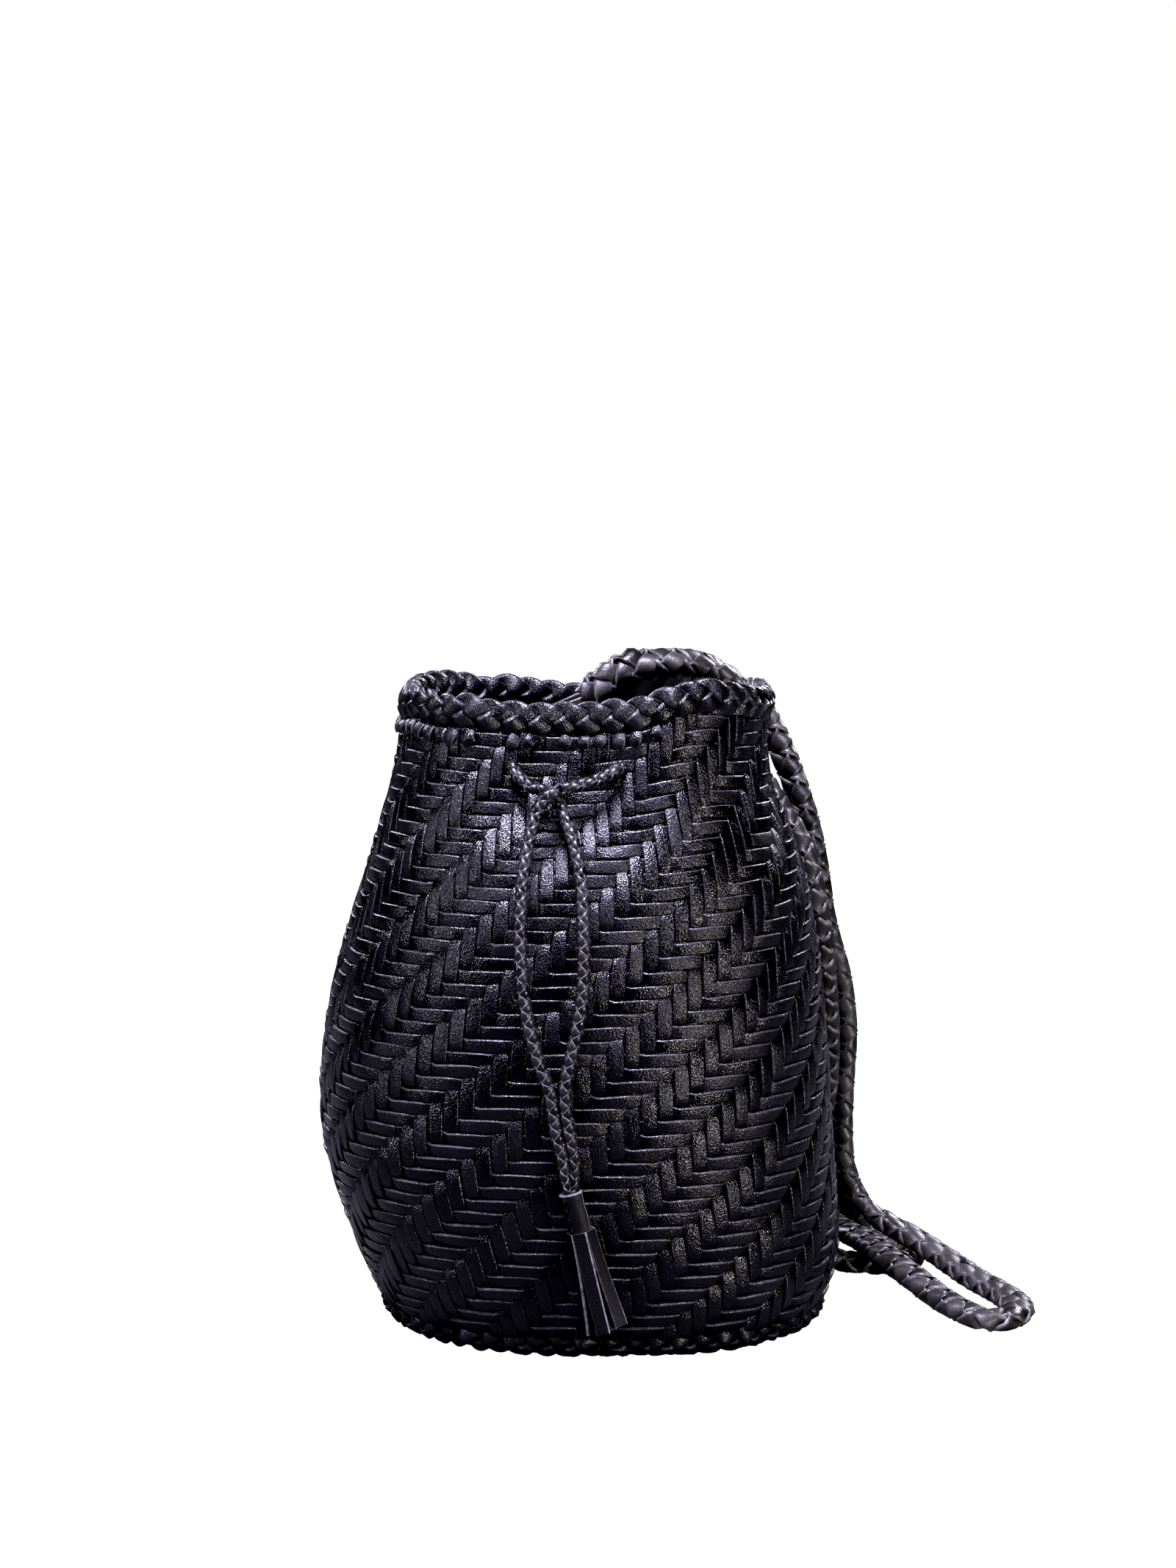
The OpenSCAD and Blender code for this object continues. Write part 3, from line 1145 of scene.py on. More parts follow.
@dataclass(frozen=True)
class Braid:
    """A four-strand round braid, pressed as flat as its thickness says."""

    width: float
    thickness: float
    lead: float
    cut: StrandCut
    samples: int = 18
    tuck: float = 1.9
    weaving: float = 0.92
    pull: float = 0.42
    crease: float = 48.0

    def make(
        self,
        name: str,
        route: Route,
        start: float,
        stop: float,
        seed: int,
        taper: float = 0.0,
    ) -> bpy.types.Object:
        """Braids along part of a route.

        Args:
            name: The piece's name.
            route: The line that the braid follows.
            start: Where along the route the piece begins, in metres.
            stop: Where it ends, in metres.
            seed: Number that fixes the strands' small differences.
            taper: Length over which the braid is pulled narrower before its end.

        Returns:
            The piece.
        """
        even = route.resampled(self.lead / self.samples)
        along = even.distances()
        kept = (along >= start - 1e-9) & (along <= stop + 1e-9)
        _, side, facing = even.frames()
        deep = self.cut.thickness * 0.5
        half_wide = self.width / 2 - deep * self.tuck
        half_thick = self.thickness / 2 - deep * self.tuck
        chance = np.random.RandomState(seed)
        pulled = ease((along - stop) / taper + 1) if taper else np.zeros(len(along))
        narrow = 1 - self.pull * pulled
        strip = StripMesh(name)
        for direction in (1, -1):
            for half_turn in (0, 1):
                wound = 2 * math.pi * along / self.lead
                turn = math.pi / 4 + math.pi * half_turn + direction * wound
                over = direction * np.cos(2 * (turn - math.pi / 4))
                wide, thick = np.cos(turn), np.sin(turn)
                outward = unit(
                    side * (wide / half_wide)[:, None]
                    + facing * (thick / half_thick)[:, None]
                )
                centres = (
                    even.points
                    + side * (half_wide * wide * narrow)[:, None]
                    + facing * (half_thick * thick * narrow)[:, None]
                    + outward * (deep * self.weaving * over)[:, None]
                )
                tones = chance.uniform(0.1, 0.9, int(along[-1] / self.lead) + 3)
                tone = np.interp(along / self.lead, np.arange(len(tones)), tones)
                widths = self.cut.width * narrow
                strip.sweep(centres[kept], outward[kept], self.cut, widths[kept], tone[kept])
        return strip.finish(self.crease)


# ---------------------------------------------------------------- strap and drawstring


@dataclass
class Strap:
    """The long braided strap, its laced roots and the loops that it lies in."""

    shape: BagShape
    braid: Braid = Braid(12.4 * MM, 8.2 * MM, 21 * MM, StrandCut(7.3 * MM, 2.5 * MM, 12, 3.0))
    length: float = 1.0025
    cord_width: float = 0.0125
    step: float = 0.004
    floor_height: float = 5.2
    sink: float = 1.1
    settled_below: float = 14.0
    lying_below: float = 34.0
    lying_over: float = 20.0
    root_cut: StripCut = StripCut(6.4 * MM, 1.4 * MM, 0.3 * MM, 0.16 * MM)
    root_points: int = 12
    root_bow: tuple = (1.5, 1.2)
    inside_roots: int = 13
    outside_roots: int = 5
    arch_points: int = 8
    mouth_facing: tuple = (0.0, -1.0, 0.15)
    rim_facing: tuple = (0.1, -0.45, 0.9)
    bend_facings: tuple = ((0.45, -0.1, 0.85), (0.75, 0.2, 0.6))
    leather: Leather = Leather(
        "black_strap_leather", light=(0.055, 0.052, 0.05, 1.0),
        edge=(0.16, 0.155, 0.165, 1.0), smooth=0.3, rough=0.5, rubbing=0.8, relief=0.22,
    )
    controls: tuple = (
        (4, 43, 223.5), (9, 44, 228.5), (18, 45.5, 234.3), (28, 47, 236.4), (38, 48, 236.7),
        (48, 50.5, 235), (57, 55, 230.5), (63, 58, 225), (68.5, 58, 218.5), (74, 56, 210),
        (80, 52.5, 197), (84, 50, 186), (87.5, 49, 175), (90, 48, 164), (92, 47.5, 152),
        (93.5, 47, 141), (96.5, 48, 129), (100, 50, 117), (102, 52, 105), (103, 54, 93),
        (102.5, 56, 80), (102, 58, 66), (102, 60, 52), (103.5, 61, 37), (109.5, 58, 25),
        (119, 52, 18), (129, 44, 14), (140, 32, 9.5), (150, 14, 6.5), (157, 0, 5.5),
        (161, -12, 5.2), (162, -25, 5.2), (158, -36, 5.2), (149.5, -40.5, 5.4),
        (141, -34.5, 7), (133, -23, 9), (125.5, -11, 12), (118, 4, 14.5), (111, 28, 15.5),
        (104, 47, 15.5), (98, 64, 15), (93, 84, 12), (89, 102, 8), (80, 117, 5.5),
        (66, 125, 5.2), (52, 122, 5.2), (44, 110, 5.2), (50, 98, 5.2), (64, 89, 5.2),
        (78, 79, 5.2), (89, 66, 5.2), (99, 50, 5.2), (109, 43, 5.2), (119, 43, 5.2),
        (127, 49, 5.2), (129, 59, 5.2), (125, 69, 5.5), (116, 74, 8), (109, 74.5, 14),
        (102.5, 73, 24), (96, 71, 35), (91.6, 63.6, 46), (91.8, 53.5, 58), (95, 45.5, 72),
        (95.5, 38, 96), (94, 34, 118), (92.5, 32, 134), (90.5, 31.5, 146), (88.5, 32.2, 154),
        (86.2, 33.8, 163), (82.4, 37.8, 171.5), (77.5, 44, 179), (73, 52, 185.5),
        (68, 57.5, 191.5), (63.5, 59.5, 199),
    )

    def facings(self) -> np.ndarray:
        """Says which way the flat of the strap looks at each point of its route."""
        points = np.array(self.controls, float)
        away = points - np.array([4.0, 0.0, 0.0])
        away[:, 2] = 0
        away = unit(away)
        upward = np.tile([0.0, 0.0, 1.0], (len(points), 1))
        lying = ease((self.lying_below - points[:, 2]) / self.lying_over)[:, None]
        facing = away * (1 - lying) + upward * lying
        facing[:3] = self.mouth_facing
        facing[3:6] = self.rim_facing
        facing[6 : self.arch_points] = self.bend_facings
        return unit(facing)

    def route(self) -> Route:
        """Makes the strap's route, let down so that the flat braid lies on the floor."""
        points = np.array(self.controls, float)
        drop = self.settled_below - self.floor_height
        low = ease((self.settled_below - points[:, 2]) / drop)
        points[:, 2] -= self.sink * low
        return Route.through(points.tolist(), self.facings(), self.step)

    def root_strips(self, name: str, starts: list, ends: list, node: str) -> None:
        """Lays the spread ends of the strap's strips against the wall.

        Args:
            name: The piece's name.
            starts: Where each strip leaves the braid, in millimetres.
            ends: Turn in degrees, height and inset in millimetres where each is laced in.
            node: The plain solid that the piece stands for.
        """
        chance = np.random.RandomState(len(name))
        strip = StripMesh(name)
        for start, (turn, height, inset) in zip(starts, ends):
            angle = math.radians(turn)
            first = np.array(start, float) * MM
            last = self.shape.point(angle, height, inset)
            normal = self.shape.normal(angle, height)
            if inset > 0:
                normal = -normal
            count = self.root_points
            share = np.linspace(0, 1, count)[:, None]
            least, more = self.root_bow
            bow = normal * (4 * share * (1 - share)) * (least + chance.uniform(0, more)) * MM
            centres = first * (1 - share) + last * share + bow
            facing = np.tile(normal, (count, 1)) + np.array([0, 0, 0.25]) * (1 - share)
            widths = np.full(count, self.root_cut.width)
            tones = np.full(count, chance.uniform(0.2, 0.9))
            strip.sweep(centres, facing, self.root_cut, widths, tones)
        place(strip.finish(), Body.BAG, Slot.STRAP, self.leather, (node,))

    def build(self) -> None:
        """Braids the strap and lays its roots."""
        route = self.route()
        whole = route.distances()[-1]
        piece = self.braid.make("braided_strap", route, 0.0, whole, 11)
        place(piece, Body.BAG, Slot.STRAP, self.leather, ("strap",))
        self.lace_inside()
        self.lace_outside()

    def lace_inside(self) -> None:
        """Spreads the strips of the first end down the inside of the wall."""
        inside = range(self.inside_roots)
        arch = np.array(self.controls[: self.arch_points], float)
        starts = []
        for number in inside:
            across = 4 + 4.2 * number
            back, rise = (float(np.interp(across, arch[:, 0], arch[:, k])) for k in (1, 2))
            starts.append((across, back, rise - 2.5))
        ends = [(121 - 6.0 * n, 212 + 0.3 * n, 5.4) for n in inside]
        self.root_strips("strap_root_inside_strips", starts, ends, "strap_root_inside")

    def lace_outside(self) -> None:
        """Spreads the strips of the last end over the outside of the wall."""
        outside = range(self.outside_roots)
        starts = [(66.5 - 1.6 * n, 58.2 + 0.8 * n, 195 + 0.4 * n) for n in outside]
        ends = [(37 + 5.0 * n, 205 + 0.3 * n, -0.9) for n in outside]
        self.root_strips("strap_root_outside_strips", starts, ends, "strap_root_outside")


@dataclass
class Drawstring:
    """The thin braid through the neck, its crossing in front and its two tails."""

    shape: BagShape
    braid: Braid = Braid(5.2 * MM, 4.6 * MM, 10.5 * MM, StrandCut(3.4 * MM, 1.4 * MM, 8, 2.6), 14)
    tail_length: float = 0.152
    cord_width: float = 0.0048
    step: float = 0.0015
    ring_from: float = 284.0
    ring_to: float = 612.0
    ring_height: float = 206.0
    ring_inset: float = 6.9
    taper: float = 0.022
    bend_from: tuple = (-0.0026, -0.0976, 0.0712)
    bend_to: tuple = (-0.0026, -0.0976, 0.0652)
    leather: Leather = Leather(
        "black_cord_leather", light=(0.03, 0.029, 0.032, 1.0),
        edge=(0.16, 0.155, 0.18, 1.0), smooth=0.26, rough=0.44, rubbing=0.8, relief=0.2,
    )
    run_left: tuple = ((-23, -57.5, 209), (-20.5, -61.5, 206.5), (-17, -64, 203.5))
    run_right: tuple = ((16, -57.5, 209.5), (13, -62, 208.2), (8, -65, 206), (2, -66, 204))
    tail_right: tuple = (
        (-12.1, -65.2, 201.9), (-9, -65.6, 200.2), (-5.8, -67.6, 196.6), (-2, -75, 188),
        (1.5, -83.5, 174), (2.5, -90, 158), (2.5, -93.5, 140), (1, -95.5, 126),
        (-2, -96.6, 112), (-4, -97.2, 100), (-2.8, -97.4, 88), (-0.9, -97.3, 78),
        (-0.9, -97.0, 70), (-0.8, -96.9, 62.5),
    )
    tail_left: tuple = (
        (-5.4, -67.6, 202.3), (-8.3, -71.8, 202.2), (-12.8, -73.3, 197.5), (-16, -77, 188),
        (-18.5, -84, 174), (-19.5, -90, 158), (-19, -93.5, 140), (-17, -95.5, 126),
        (-13.5, -96.6, 112), (-9.2, -97.2, 100), (-7.4, -97.6, 88), (-5.1, -98.1, 78),
        (-3.8, -98.6, 70), (-2.0, -98.5, 62.5),
    )

    def half(self, run: tuple, tail: tuple, names: tuple, node: str, seed: int) -> tuple:
        """Braids one end of the drawstring from the wall to the tassel.

        Args:
            run: Points from the wall to the crossing.
            tail: Points from the crossing to the tassel.
            names: The names of the run's and the tail's pieces.
            node: The tail's plain solid.
            seed: Number that fixes the strands' small differences.

        Returns:
            The tail's piece and its route.
        """
        controls = np.array(run + tail, float)
        facing = np.tile([0.0, -1.0, 0.0], (len(controls), 1))
        facing[: len(run)] = (0.0, -0.7, 0.7)
        both = Route.through(controls.tolist(), unit(facing), self.step)
        along = both.distances()
        nearest = np.linalg.norm(both.points - np.array(tail[0]) * MM, axis=1)
        split = along[int(np.argmin(nearest))]
        first = self.braid.make(names[0], both, 0.0, split + 0.0008, seed)
        place(first, Body.BAG, Slot.CORD, self.leather, ("drawstring_front",))
        second = self.braid.make(names[1], both, split, along[-1], seed, self.taper)
        place(second, Body.TAILS, Slot.CORD, self.leather, (node,), rides=False)
        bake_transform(second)
        kept = along >= split - 1e-9
        return second, both.points[kept]

    def ring(self) -> None:
        """Braids the part that is threaded round the inside of the neck."""
        turn = np.radians(np.linspace(self.ring_from, self.ring_to, 160))
        points = self.shape.point(turn, self.ring_height, self.ring_inset)
        facing = self.shape.normal(turn, np.full(len(turn), self.ring_height))
        route = Route(points, facing).resampled(self.step)
        piece = self.braid.make("threaded_drawstring", route, 0.0, route.distances()[-1], 5)
        place(piece, Body.BAG, Slot.CORD, self.leather, ("drawstring_ring",))

    def build(self, hanging: list) -> None:
        """Braids the whole drawstring.

        Args:
            hanging: The tassel's pieces, which hang on the tails; not used.
        """
        self.ring()
        ends = (
            (self.run_left, self.tail_right, ("run_left", "hanging_tail_right"), "tail_right", 21),
            (self.run_right, self.tail_left, ("run_right", "hanging_tail_left"), "tail_left", 22),
        )
        for run, tail, names, node, seed in ends:
            piece, path = self.half(run, tail, names, node, seed)


# ---------------------------------------------------------------- tassel


@dataclass
class Tassel:
    """A strip of leather rolled round the ends of the cord and cut into a fringe."""

    pivot: tuple = (-2.6, -97.6, 68.2)
    lean: float = 14.0
    drop: float = 3.0
    radius: float = 4.7
    cap_length: float = 15.0
    fringe_length: float = 35.5
    rolled_from: float = -215.0
    rolled_to: float = 325.0
    rolled_in: float = 1.3
    wall: float = 1.05
    cap_rings: tuple = (0.0, 0.45, 3.0, 5.6, 8.2, 11.0, 14.0, 15.0)
    fringe_rings: tuple = ((6, -0.55, 5.0, 3.4), (4, -2.4, 3.8, 1.6))
    stitch_count: int = 4
    stitch_turn: float = 232.0
    leather: Leather = Leather(
        "black_tassel_leather",
        edge=(0.2, 0.195, 0.21, 1.0), smooth=0.46, rough=0.64, rubbing=0.95, relief=0.4, shine=0.35,
    )

    def axes(self) -> tuple[np.ndarray, np.ndarray, np.ndarray]:
        """Gives the tassel's downward, rightward and backward directions."""
        lean = math.radians(self.lean)
        down = np.array([math.sin(lean), 0.0, -math.cos(lean)])
        right = np.array([math.cos(lean), 0.0, math.sin(lean)])
        return down, right, np.array([0.0, 1.0, 0.0])

    def at(self, depth: np.ndarray, turn: np.ndarray, radius: np.ndarray) -> np.ndarray:
        """Finds points round the tassel.

        Args:
            depth: Distance below the cap's top, in millimetres.
            turn: Angle round the tassel in radians, 0 at its right.
            radius: Distance from its middle, in millimetres.

        Returns:
            Points in metres.
        """
        down, right, back = self.axes()
        depth, turn, radius = np.broadcast_arrays(depth, turn, radius)
        start = np.array(self.pivot) + down * self.drop
        return (
            start
            + down * depth[..., None]
            + right * (radius * np.cos(turn))[..., None]
            + back * (radius * np.sin(turn))[..., None]
        ) * MM

    def cap(self) -> bpy.types.Object:
        """Rolls the cap: one and a half turns of leather, with its end edge in front."""
        steps = 60
        turn = np.radians(np.linspace(self.rolled_from, self.rolled_to, steps))
        wind = np.linspace(-self.rolled_in, 0.0, steps)
        mesh = bpy.data.meshes.new("rolled_cap")
        maker = bmesh.new()
        layer = maker.verts.layers.float.new("cut_edge")
        tone = maker.verts.layers.float.new("strip_tone_and_shade")
        levels = len(self.cap_rings)
        grid = []
        for thick in (0.0, -self.wall):
            sheet = []
            for level, depth in enumerate(self.cap_rings):
                swell = 0.16 * math.sin(level * 1.9)
                places = self.at(depth, turn, self.radius + wind + thick + swell)
                row = []
                for position in places:
                    vertex = maker.verts.new(position)
                    vertex[layer] = 0.0
                    vertex[tone] = 0.4
                    row.append(vertex)
                sheet.append(row)
            grid.append(sheet)
        outer, inner = grid
        for level in range(levels - 1):
            for step in range(steps - 1):
                maker.faces.new(
                    (outer[level][step], outer[level][step + 1],
                     outer[level + 1][step + 1], outer[level + 1][step])
                )
                maker.faces.new(
                    (inner[level][step], inner[level + 1][step],
                     inner[level + 1][step + 1], inner[level][step + 1])
                )
        rims = (outer[0][::-1], inner[0][::-1]), (outer[-1], inner[-1])
        for upper, lower in rims:
            for step in range(steps - 1):
                maker.faces.new((upper[step], upper[step + 1], lower[step + 1], lower[step]))
        for step, order in ((0, 1), (steps - 1, -1)):
            for level in range(levels - 1):
                face = (outer[level][step], outer[level + 1][step],
                        inner[level + 1][step], inner[level][step])
                maker.faces.new(face[::order])
        bmesh.ops.recalc_face_normals(maker, faces=maker.faces)
        edges = [e for e in maker.edges if e.calc_face_angle(0) > math.radians(60)]
        cut = bmesh.ops.bevel(
            maker, geom=edges, offset=0.00018, segments=2, affect="EDGES", profile=0.6
        )
        for face in cut["faces"]:
            for vertex in face.verts:
                vertex[layer] = 0.8
        maker.to_mesh(mesh)
        maker.free()
        mesh.shade_smooth()
        mesh.set_sharp_from_angle(angle=math.radians(40))
        piece = bpy.data.objects.new("rolled_cap", mesh)
        bpy.context.scene.collection.objects.link(piece)
        return place(piece, Body.TASSEL, Slot.TASSEL, self.leather, ("tassel_cap",))

    def fringe(self) -> bpy.types.Object:
        """Cuts the fringe: an outer ring of wide strips round a narrower inner ring."""
        chance = np.random.RandomState(41)
        strip = StripMesh("cut_fringe")
        for count, inside, width, spread in self.fringe_rings:
            cut = StripCut(width * MM, self.wall * MM, 0.1 * MM, 0.14 * MM)
            for number in range(count):
                base = 2 * math.pi * (number + 0.35) / count
                swing, longer, curl, twist = chance.uniform(-1, 1, 4)
                share = np.linspace(0, 1, 14)
                depth = self.cap_length - 1.0 + share * (self.fringe_length + 1.2 * longer)
                turn = base + 0.22 * swing * share**1.5
                out = self.radius + inside + (spread + 0.9 * curl) * share**1.4
                centres = self.at(depth, turn, out)
                _, right, back = self.axes()
                twisted = turn + 0.35 * twist * share
                facing = (
                    right * np.cos(twisted)[:, None] + back * np.sin(twisted)[:, None]
                )
                tone = np.full(14, chance.uniform(0.2, 0.8))
                strip.sweep(centres, facing, cut, np.full(14, width * MM), tone)
        piece = strip.finish()
        return place(piece, Body.TASSEL, Slot.TASSEL, self.leather, ("tassel_fringe",))

    def knot(self) -> bpy.types.Object:
        """Ties the cord's end inside the cap's mouth, as a wrapped collar."""
        bpy.ops.object.select_all(action="DESELECT")
        centre = Vector(self.at(np.array(0.9), np.array(0.0), np.array(0.0)))
        bpy.ops.mesh.primitive_torus_add(
            major_segments=28,
            minor_segments=12,
            major_radius=1.75 * MM,
            minor_radius=1.15 * MM,
            location=centre,
            rotation=(0.0, math.radians(-self.lean), 0.0),
        )
        ring = bpy.context.active_object
        ring.name = "bound_knot"
        bpy.ops.object.mode_set(mode="EDIT")
        bpy.ops.mesh.select_all(action="SELECT")
        bpy.ops.transform.resize(
            value=(1.0, 1.0, 1.7), orient_type="GLOBAL", center_override=centre
        )
        bpy.ops.object.mode_set(mode="OBJECT")
        bpy.ops.object.transform_apply(location=True, rotation=True, scale=True)
        ring.data.shade_smooth()
        return place(ring, Body.TASSEL, Slot.TASSEL, self.leather, ("tassel_knot",))

    def stitches(self) -> bpy.types.Object:
        """Sews the roll shut with short stitches down its left side."""
        bpy.ops.object.select_all(action="DESELECT")
        made = []
        for number in range(self.stitch_count):
            depth, turn = 2.0 + 3.6 * number, math.radians(self.stitch_turn)
            spot = self.at(np.array(depth), np.array(turn), np.array(self.radius))
            bpy.ops.mesh.primitive_uv_sphere_add(
                segments=10, ring_count=6, radius=0.55 * MM, location=spot
            )
            bead = bpy.context.active_object
            bpy.ops.object.mode_set(mode="EDIT")
            bpy.ops.mesh.select_all(action="SELECT")
            bpy.ops.transform.resize(value=(0.8, 0.8, 1.9), center_override=spot)
            bpy.ops.object.mode_set(mode="OBJECT")
            made.append(bead)
        for bead in made:
            bead.select_set(True)
        bpy.context.view_layer.objects.active = made[0]
        bpy.ops.object.join()
        piece = bpy.context.active_object
        piece.name = "cap_stitches"
        bpy.ops.object.transform_apply(location=True, rotation=True, scale=True)
        piece.data.shade_smooth()
        return place(piece, Body.TASSEL, Slot.TASSEL, self.leather)

    def build(self) -> list:
        """Makes the whole tassel.

        Returns:
            Its pieces.
        """
        return [self.cap(), self.fringe(), self.knot(), self.stitches()]


# ---------------------------------------------------------------- base


@dataclass
class BasePanel:
    """The flat leather bottom, stitched round its edge, and the band that it is sewn to."""

    shape: BagShape
    thickness: float = 3.0
    inset: float = 9.4
    sides: int = 96
    stitch_count: int = 84
    welt_inset: float = 5.4
    welt_height: float = 1.8
    level: float = 0.4
    flat_band: float = 4.0
    groove: float = 1.2
    groove_depth: float = 0.5
    rounding: float = 0.5
    stitch_inset: float = 5.0
    stitch_size: float = 0.9
    stitch_stations: tuple = (0.1, 0.25, 0.5, 0.75, 0.9)
    stitch_heights: tuple = (0.8, 0.5, 0.43, 0.5, 0.8)
    welt_cut: StripCut = StripCut(8.6 * MM, 2.4 * MM, 0.3 * MM, 0.4 * MM)
    leather: Leather = Leather("black_base_leather", smooth=0.42, rough=0.6, relief=0.5)

    def build(self) -> None:
        """Makes the panel, its stitches and the band round it."""
        bpy.ops.object.select_all(action="DESELECT")
        bpy.ops.mesh.primitive_circle_add(
            vertices=self.sides, radius=1.0, fill_type="NGON", location=(0, 0, 0)
        )
        panel = bpy.context.active_object
        panel.name = "bottom_panel"
        turns = np.arange(self.sides) * 2 * math.pi / self.sides
        outline = self.shape.point(turns, 0.0, self.inset)
        outline[:, 2] = self.level * MM
        order = sorted(
            panel.data.vertices, key=lambda v: math.atan2(v.co.y, v.co.x) % (2 * math.pi)
        )
        for vertex, position in zip(order, outline):
            vertex.co = position
        bpy.ops.object.mode_set(mode="EDIT")
        bpy.ops.mesh.select_all(action="SELECT")
        bpy.ops.mesh.extrude_region_move(
            TRANSFORM_OT_translate={"value": (0, 0, self.thickness * MM)}
        )
        bpy.ops.mesh.inset(thickness=self.flat_band * MM)
        bpy.ops.mesh.inset(thickness=self.groove * MM, depth=-self.groove_depth * MM)
        bpy.ops.mesh.select_all(action="SELECT")
        bpy.ops.mesh.normals_make_consistent(inside=False)
        bpy.ops.object.mode_set(mode="OBJECT")
        bevel = panel.modifiers.new("rounded_edge", "BEVEL")
        bevel.width, bevel.segments = self.rounding * MM, 3
        bevel.limit_method = "ANGLE"
        bpy.ops.object.modifier_apply(modifier=bevel.name)
        panel.data.shade_smooth()
        panel.data.set_sharp_from_angle(angle=math.radians(35))
        place(panel, Body.BAG, Slot.BASE, self.leather, ("base_panel",))
        self.stitches()
        self.welt()

    def stitches(self) -> None:
        """Sews the panel on, with stitches that show underneath."""
        stitches = StripMesh("bottom_stitches")
        width = self.stitch_size * MM
        cut = StrandCut(width, 0.8 * MM, 6, 2.0)
        for number in range(self.stitch_count):
            share = (number + np.array(self.stitch_stations) * 0.7) / self.stitch_count
            turn = self.shape.turn_at(share)
            centres = self.shape.point(turn, 0.0, self.inset + self.stitch_inset)
            centres[:, 2] = np.array(self.stitch_heights) * MM
            facing = np.tile([0.0, 0.0, -1.0], (5, 1))
            stitches.sweep(centres, facing, cut, np.full(5, width), np.full(5, 0.7))
        place(stitches.finish(60), Body.BAG, Slot.BASE, self.leather)

    def welt(self) -> None:
        """Makes the thick band between the panel and the foot of the wall."""
        turn = np.linspace(0, 2 * math.pi, 2 * self.sides, endpoint=False)
        centres = self.shape.point(turn, 0.0, self.welt_inset)
        centres[:, 2] = self.welt_height * MM
        facing = np.tile([0.0, 0.0, 1.0], (len(turn), 1))
        widths = np.full(len(turn), self.welt_cut.width)
        band = StripMesh("bottom_welt")
        band.sweep(centres, facing, self.welt_cut, widths, np.full(len(turn), 0.5), closed=True)
        place(band.finish(), Body.BAG, Slot.BORDER, self.leather, ("base_border",))


# ---------------------------------------------------------------- stage


@dataclass(frozen=True)
class SoftBox:
    """One large soft light."""

    name: str
    place: tuple
    target: tuple
    width: float
    height: float
    power: float
    colour: tuple = (1.0, 1.0, 1.0)

    def build(self) -> None:
        """Hangs the light."""
        lamp = bpy.data.lights.new(self.name, "AREA")
        lamp.shape = "RECTANGLE"
        lamp.size, lamp.size_y = self.width, self.height
        lamp.energy = self.power
        lamp.color = self.colour
        holder = bpy.data.objects.new(self.name, lamp)
        holder.location = self.place
        aim = Vector(self.target) - Vector(self.place)
        holder.rotation_euler = aim.to_track_quat("-Z", "Y").to_euler()
        bpy.context.scene.collection.objects.link(holder)


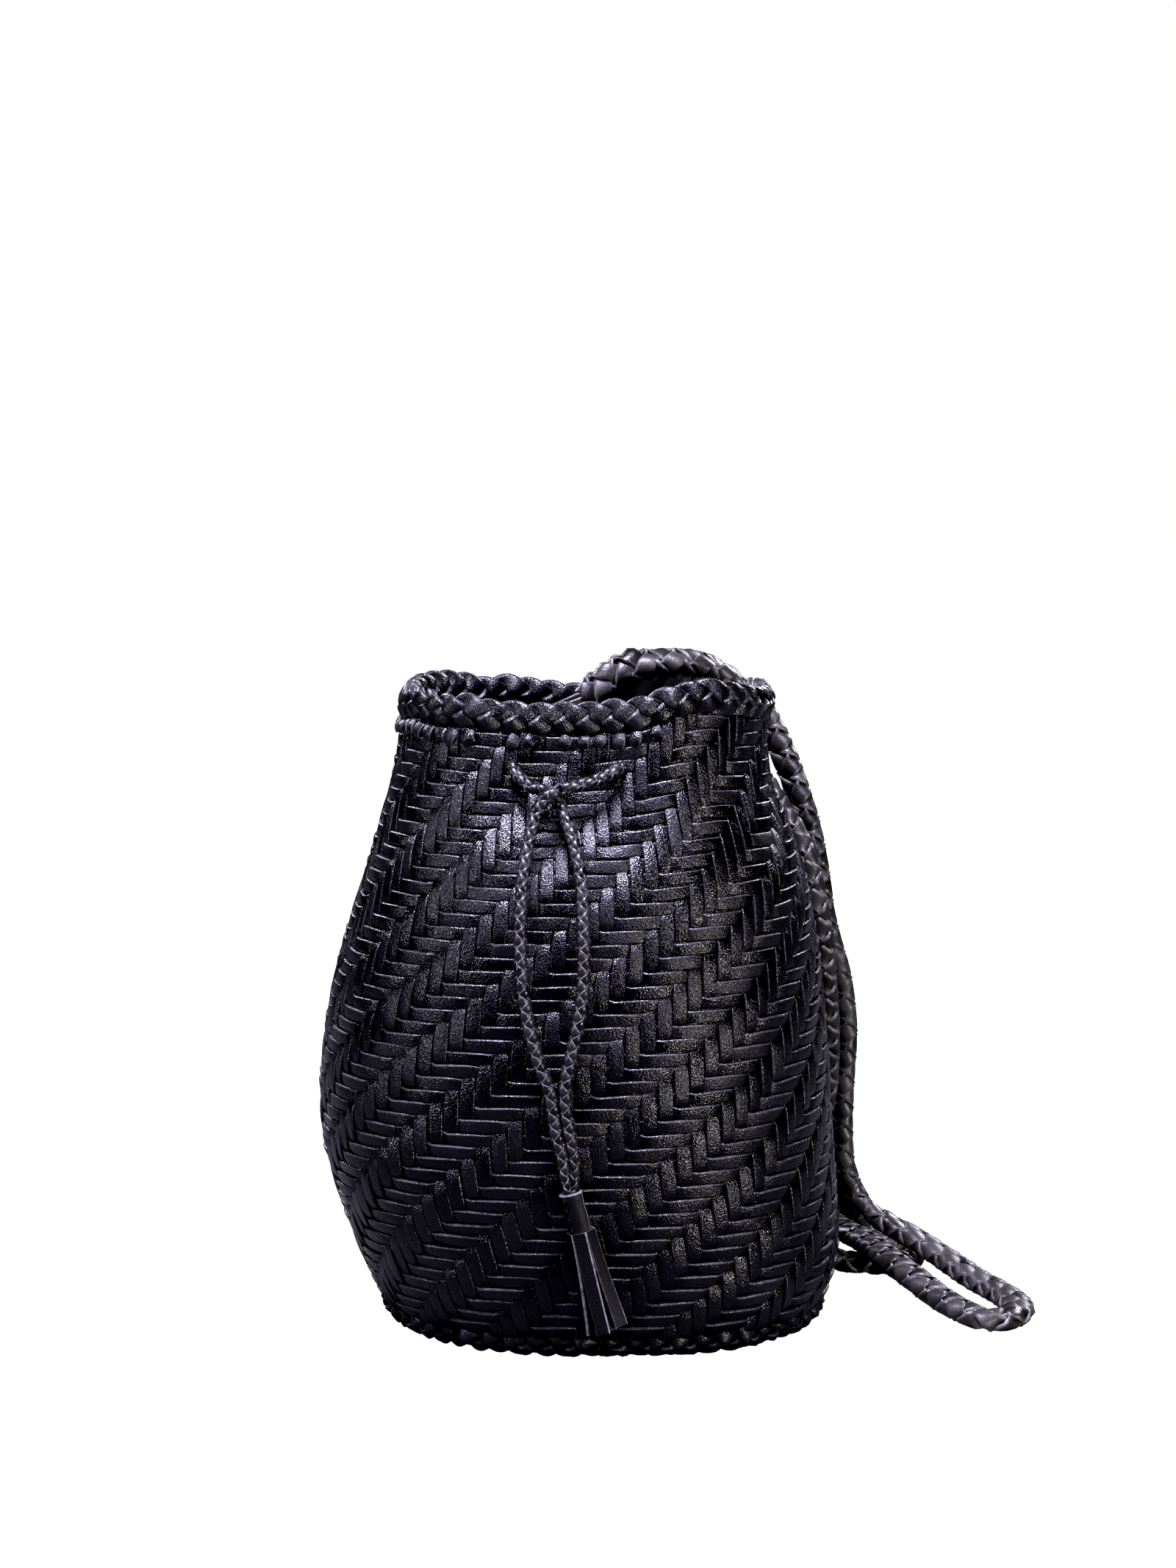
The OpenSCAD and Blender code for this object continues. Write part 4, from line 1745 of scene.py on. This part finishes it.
@dataclass
class Studio:
    """The white floor, the white surroundings, the lights and the camera."""

    camera_place: tuple = (0.004, -1.413, 0.378)
    camera_pitch: float = 7.35
    view_height: float = 22.9
    floor_size: float = 8.0
    floor_level: float = -0.0003
    floor_glow: float = 0.985
    floor_shade: float = 0.16
    surround: float = 0.03
    print_gamma: float = 0.76
    print_black: float = 0.022
    lights: tuple = (
        SoftBox("top_light", (-0.1, -0.35, 1.2), (0.0, 0.0, 0.15), 0.5, 0.3, 47.0,
                (0.95, 0.93, 1.1)),
        SoftBox("front_light", (0.1, -1.15, 1.05), (0.0, -0.05, 0.17), 0.5, 0.25, 12.5,
                (0.92, 0.88, 1.18)),
        SoftBox("left_light", (-1.3, -0.7, 0.6), (0.0, 0.0, 0.12), 0.3, 0.5, 16.0,
                (0.97, 0.95, 1.05)),
        SoftBox("right_light", (1.1, -1.15, 0.2), (0.02, 0.0, 0.06), 0.45, 0.35, 25.0,
                (1.0, 0.97, 0.9)),
        SoftBox("back_right_light", (0.9, 1.2, 0.9), (0.0, 0.0, 0.12), 0.5, 0.5, 22.0,
                (0.97, 0.96, 1.05)),
        SoftBox("back_left_light", (-0.9, 1.3, 1.0), (0.0, 0.0, 0.12), 0.5, 0.5, 22.0,
                (0.95, 0.94, 1.08)),
    )

    def camera(self) -> None:
        """Sets up the camera."""
        lens = bpy.data.cameras.new("camera")
        lens.sensor_width = 36.0
        lens.lens = lens.sensor_width / 2 / math.tan(math.radians(self.view_height / 2))
        holder = bpy.data.objects.new("camera", lens)
        holder.location = self.camera_place
        holder.rotation_euler = (math.radians(90 - self.camera_pitch), 0, 0)
        bpy.context.scene.collection.objects.link(holder)
        bpy.context.scene.camera = holder

    def floor(self) -> None:
        """Lays a plain white floor."""
        bpy.ops.object.select_all(action="DESELECT")
        bpy.ops.mesh.primitive_plane_add(
            size=self.floor_size, location=(0, 0, self.floor_level)
        )
        plane = bpy.context.active_object
        plane.name = "floor"
        material = bpy.data.materials.new("white_floor")
        material.use_nodes = True
        board = Board(material.node_tree)
        seen = board.add("ShaderNodeLightPath").outputs["Is Camera Ray"]
        glow = board.sum("MULTIPLY", seen, self.floor_glow)
        shader = board.add(
            "ShaderNodeBsdfPrincipled",
            Base_Color=(self.floor_shade,) * 3 + (1.0,),
            Roughness=0.9,
            Specular_IOR_Level=0.0,
            Emission_Color=(1.0, 1.0, 1.0, 1.0),
            Emission_Strength=glow,
        )
        board.add("ShaderNodeOutputMaterial", Surface=shader.outputs["BSDF"])
        plane.data.materials.append(material)

    def surroundings(self) -> None:
        """Makes the surroundings white to the camera and dimmer to the leather."""
        world = bpy.data.worlds.new("white_surroundings")
        bpy.context.scene.world = world
        world.use_nodes = True
        board = Board(world.node_tree)
        path = board.add("ShaderNodeLightPath")
        soft = board.add(
            "ShaderNodeBackground", Color=(0.95, 0.97, 1.0, 1.0), Strength=self.surround
        )
        bright = board.add(
            "ShaderNodeBackground", Color=(1.0, 1.0, 1.0, 1.0), Strength=1.0
        )
        mixed = board.add(
            "ShaderNodeMixShader",
            _0_=path.outputs["Is Camera Ray"],
            _1_=soft.outputs[0],
            _2_=bright.outputs[0],
        )
        board.add("ShaderNodeOutputWorld", Surface=mixed.outputs[0])

    def build(self) -> None:
        """Sets up everything round the bag."""
        self.camera()
        self.floor()
        self.surroundings()
        for light in self.lights:
            light.build()
        scene = bpy.context.scene
        scene.view_settings.view_transform = "Standard"
        scene.view_settings.look = "None"
        scene.view_settings.gamma = self.print_gamma
        scene.view_settings.use_curve_mapping = True
        curve = scene.view_settings.curve_mapping
        curve.black_level = (self.print_black, self.print_black, self.print_black)
        curve.update()


def main() -> None:
    """Builds the stage, the cords and the bag."""
    logging.basicConfig(level=logging.INFO, format="%(message)s")
    shape = BagShape()
    Studio().build()
    Strap(shape).build()
    Drawstring(shape).build(Tassel().build())
    BasePanel(shape).build()
    Weave(shape).build()
    Plait(
        shape, "rim_plait", ("rim_plait_lower", "rim_plait_upper"),
        height=226.2, inset=1.9, lean=2.0, reach=3.5 * MM, swell=2.2 * MM, periods=15,
        cut=StrandCut(7.1 * MM, 3.2 * MM, 14, 3.4), seed=61,
    ).build()
    Plait(
        shape, "base_plait", ("base_border",),
        height=4.7, inset=0.9, lean=-20.0, reach=2.7 * MM, swell=1.7 * MM, periods=20,
        cut=StrandCut(4.5 * MM, 2.0 * MM, 10, 3.0), seed=62, unevenness=0.3,
    ).build()
    RimTabs(shape).build()


if __name__ == "__main__":
    main()
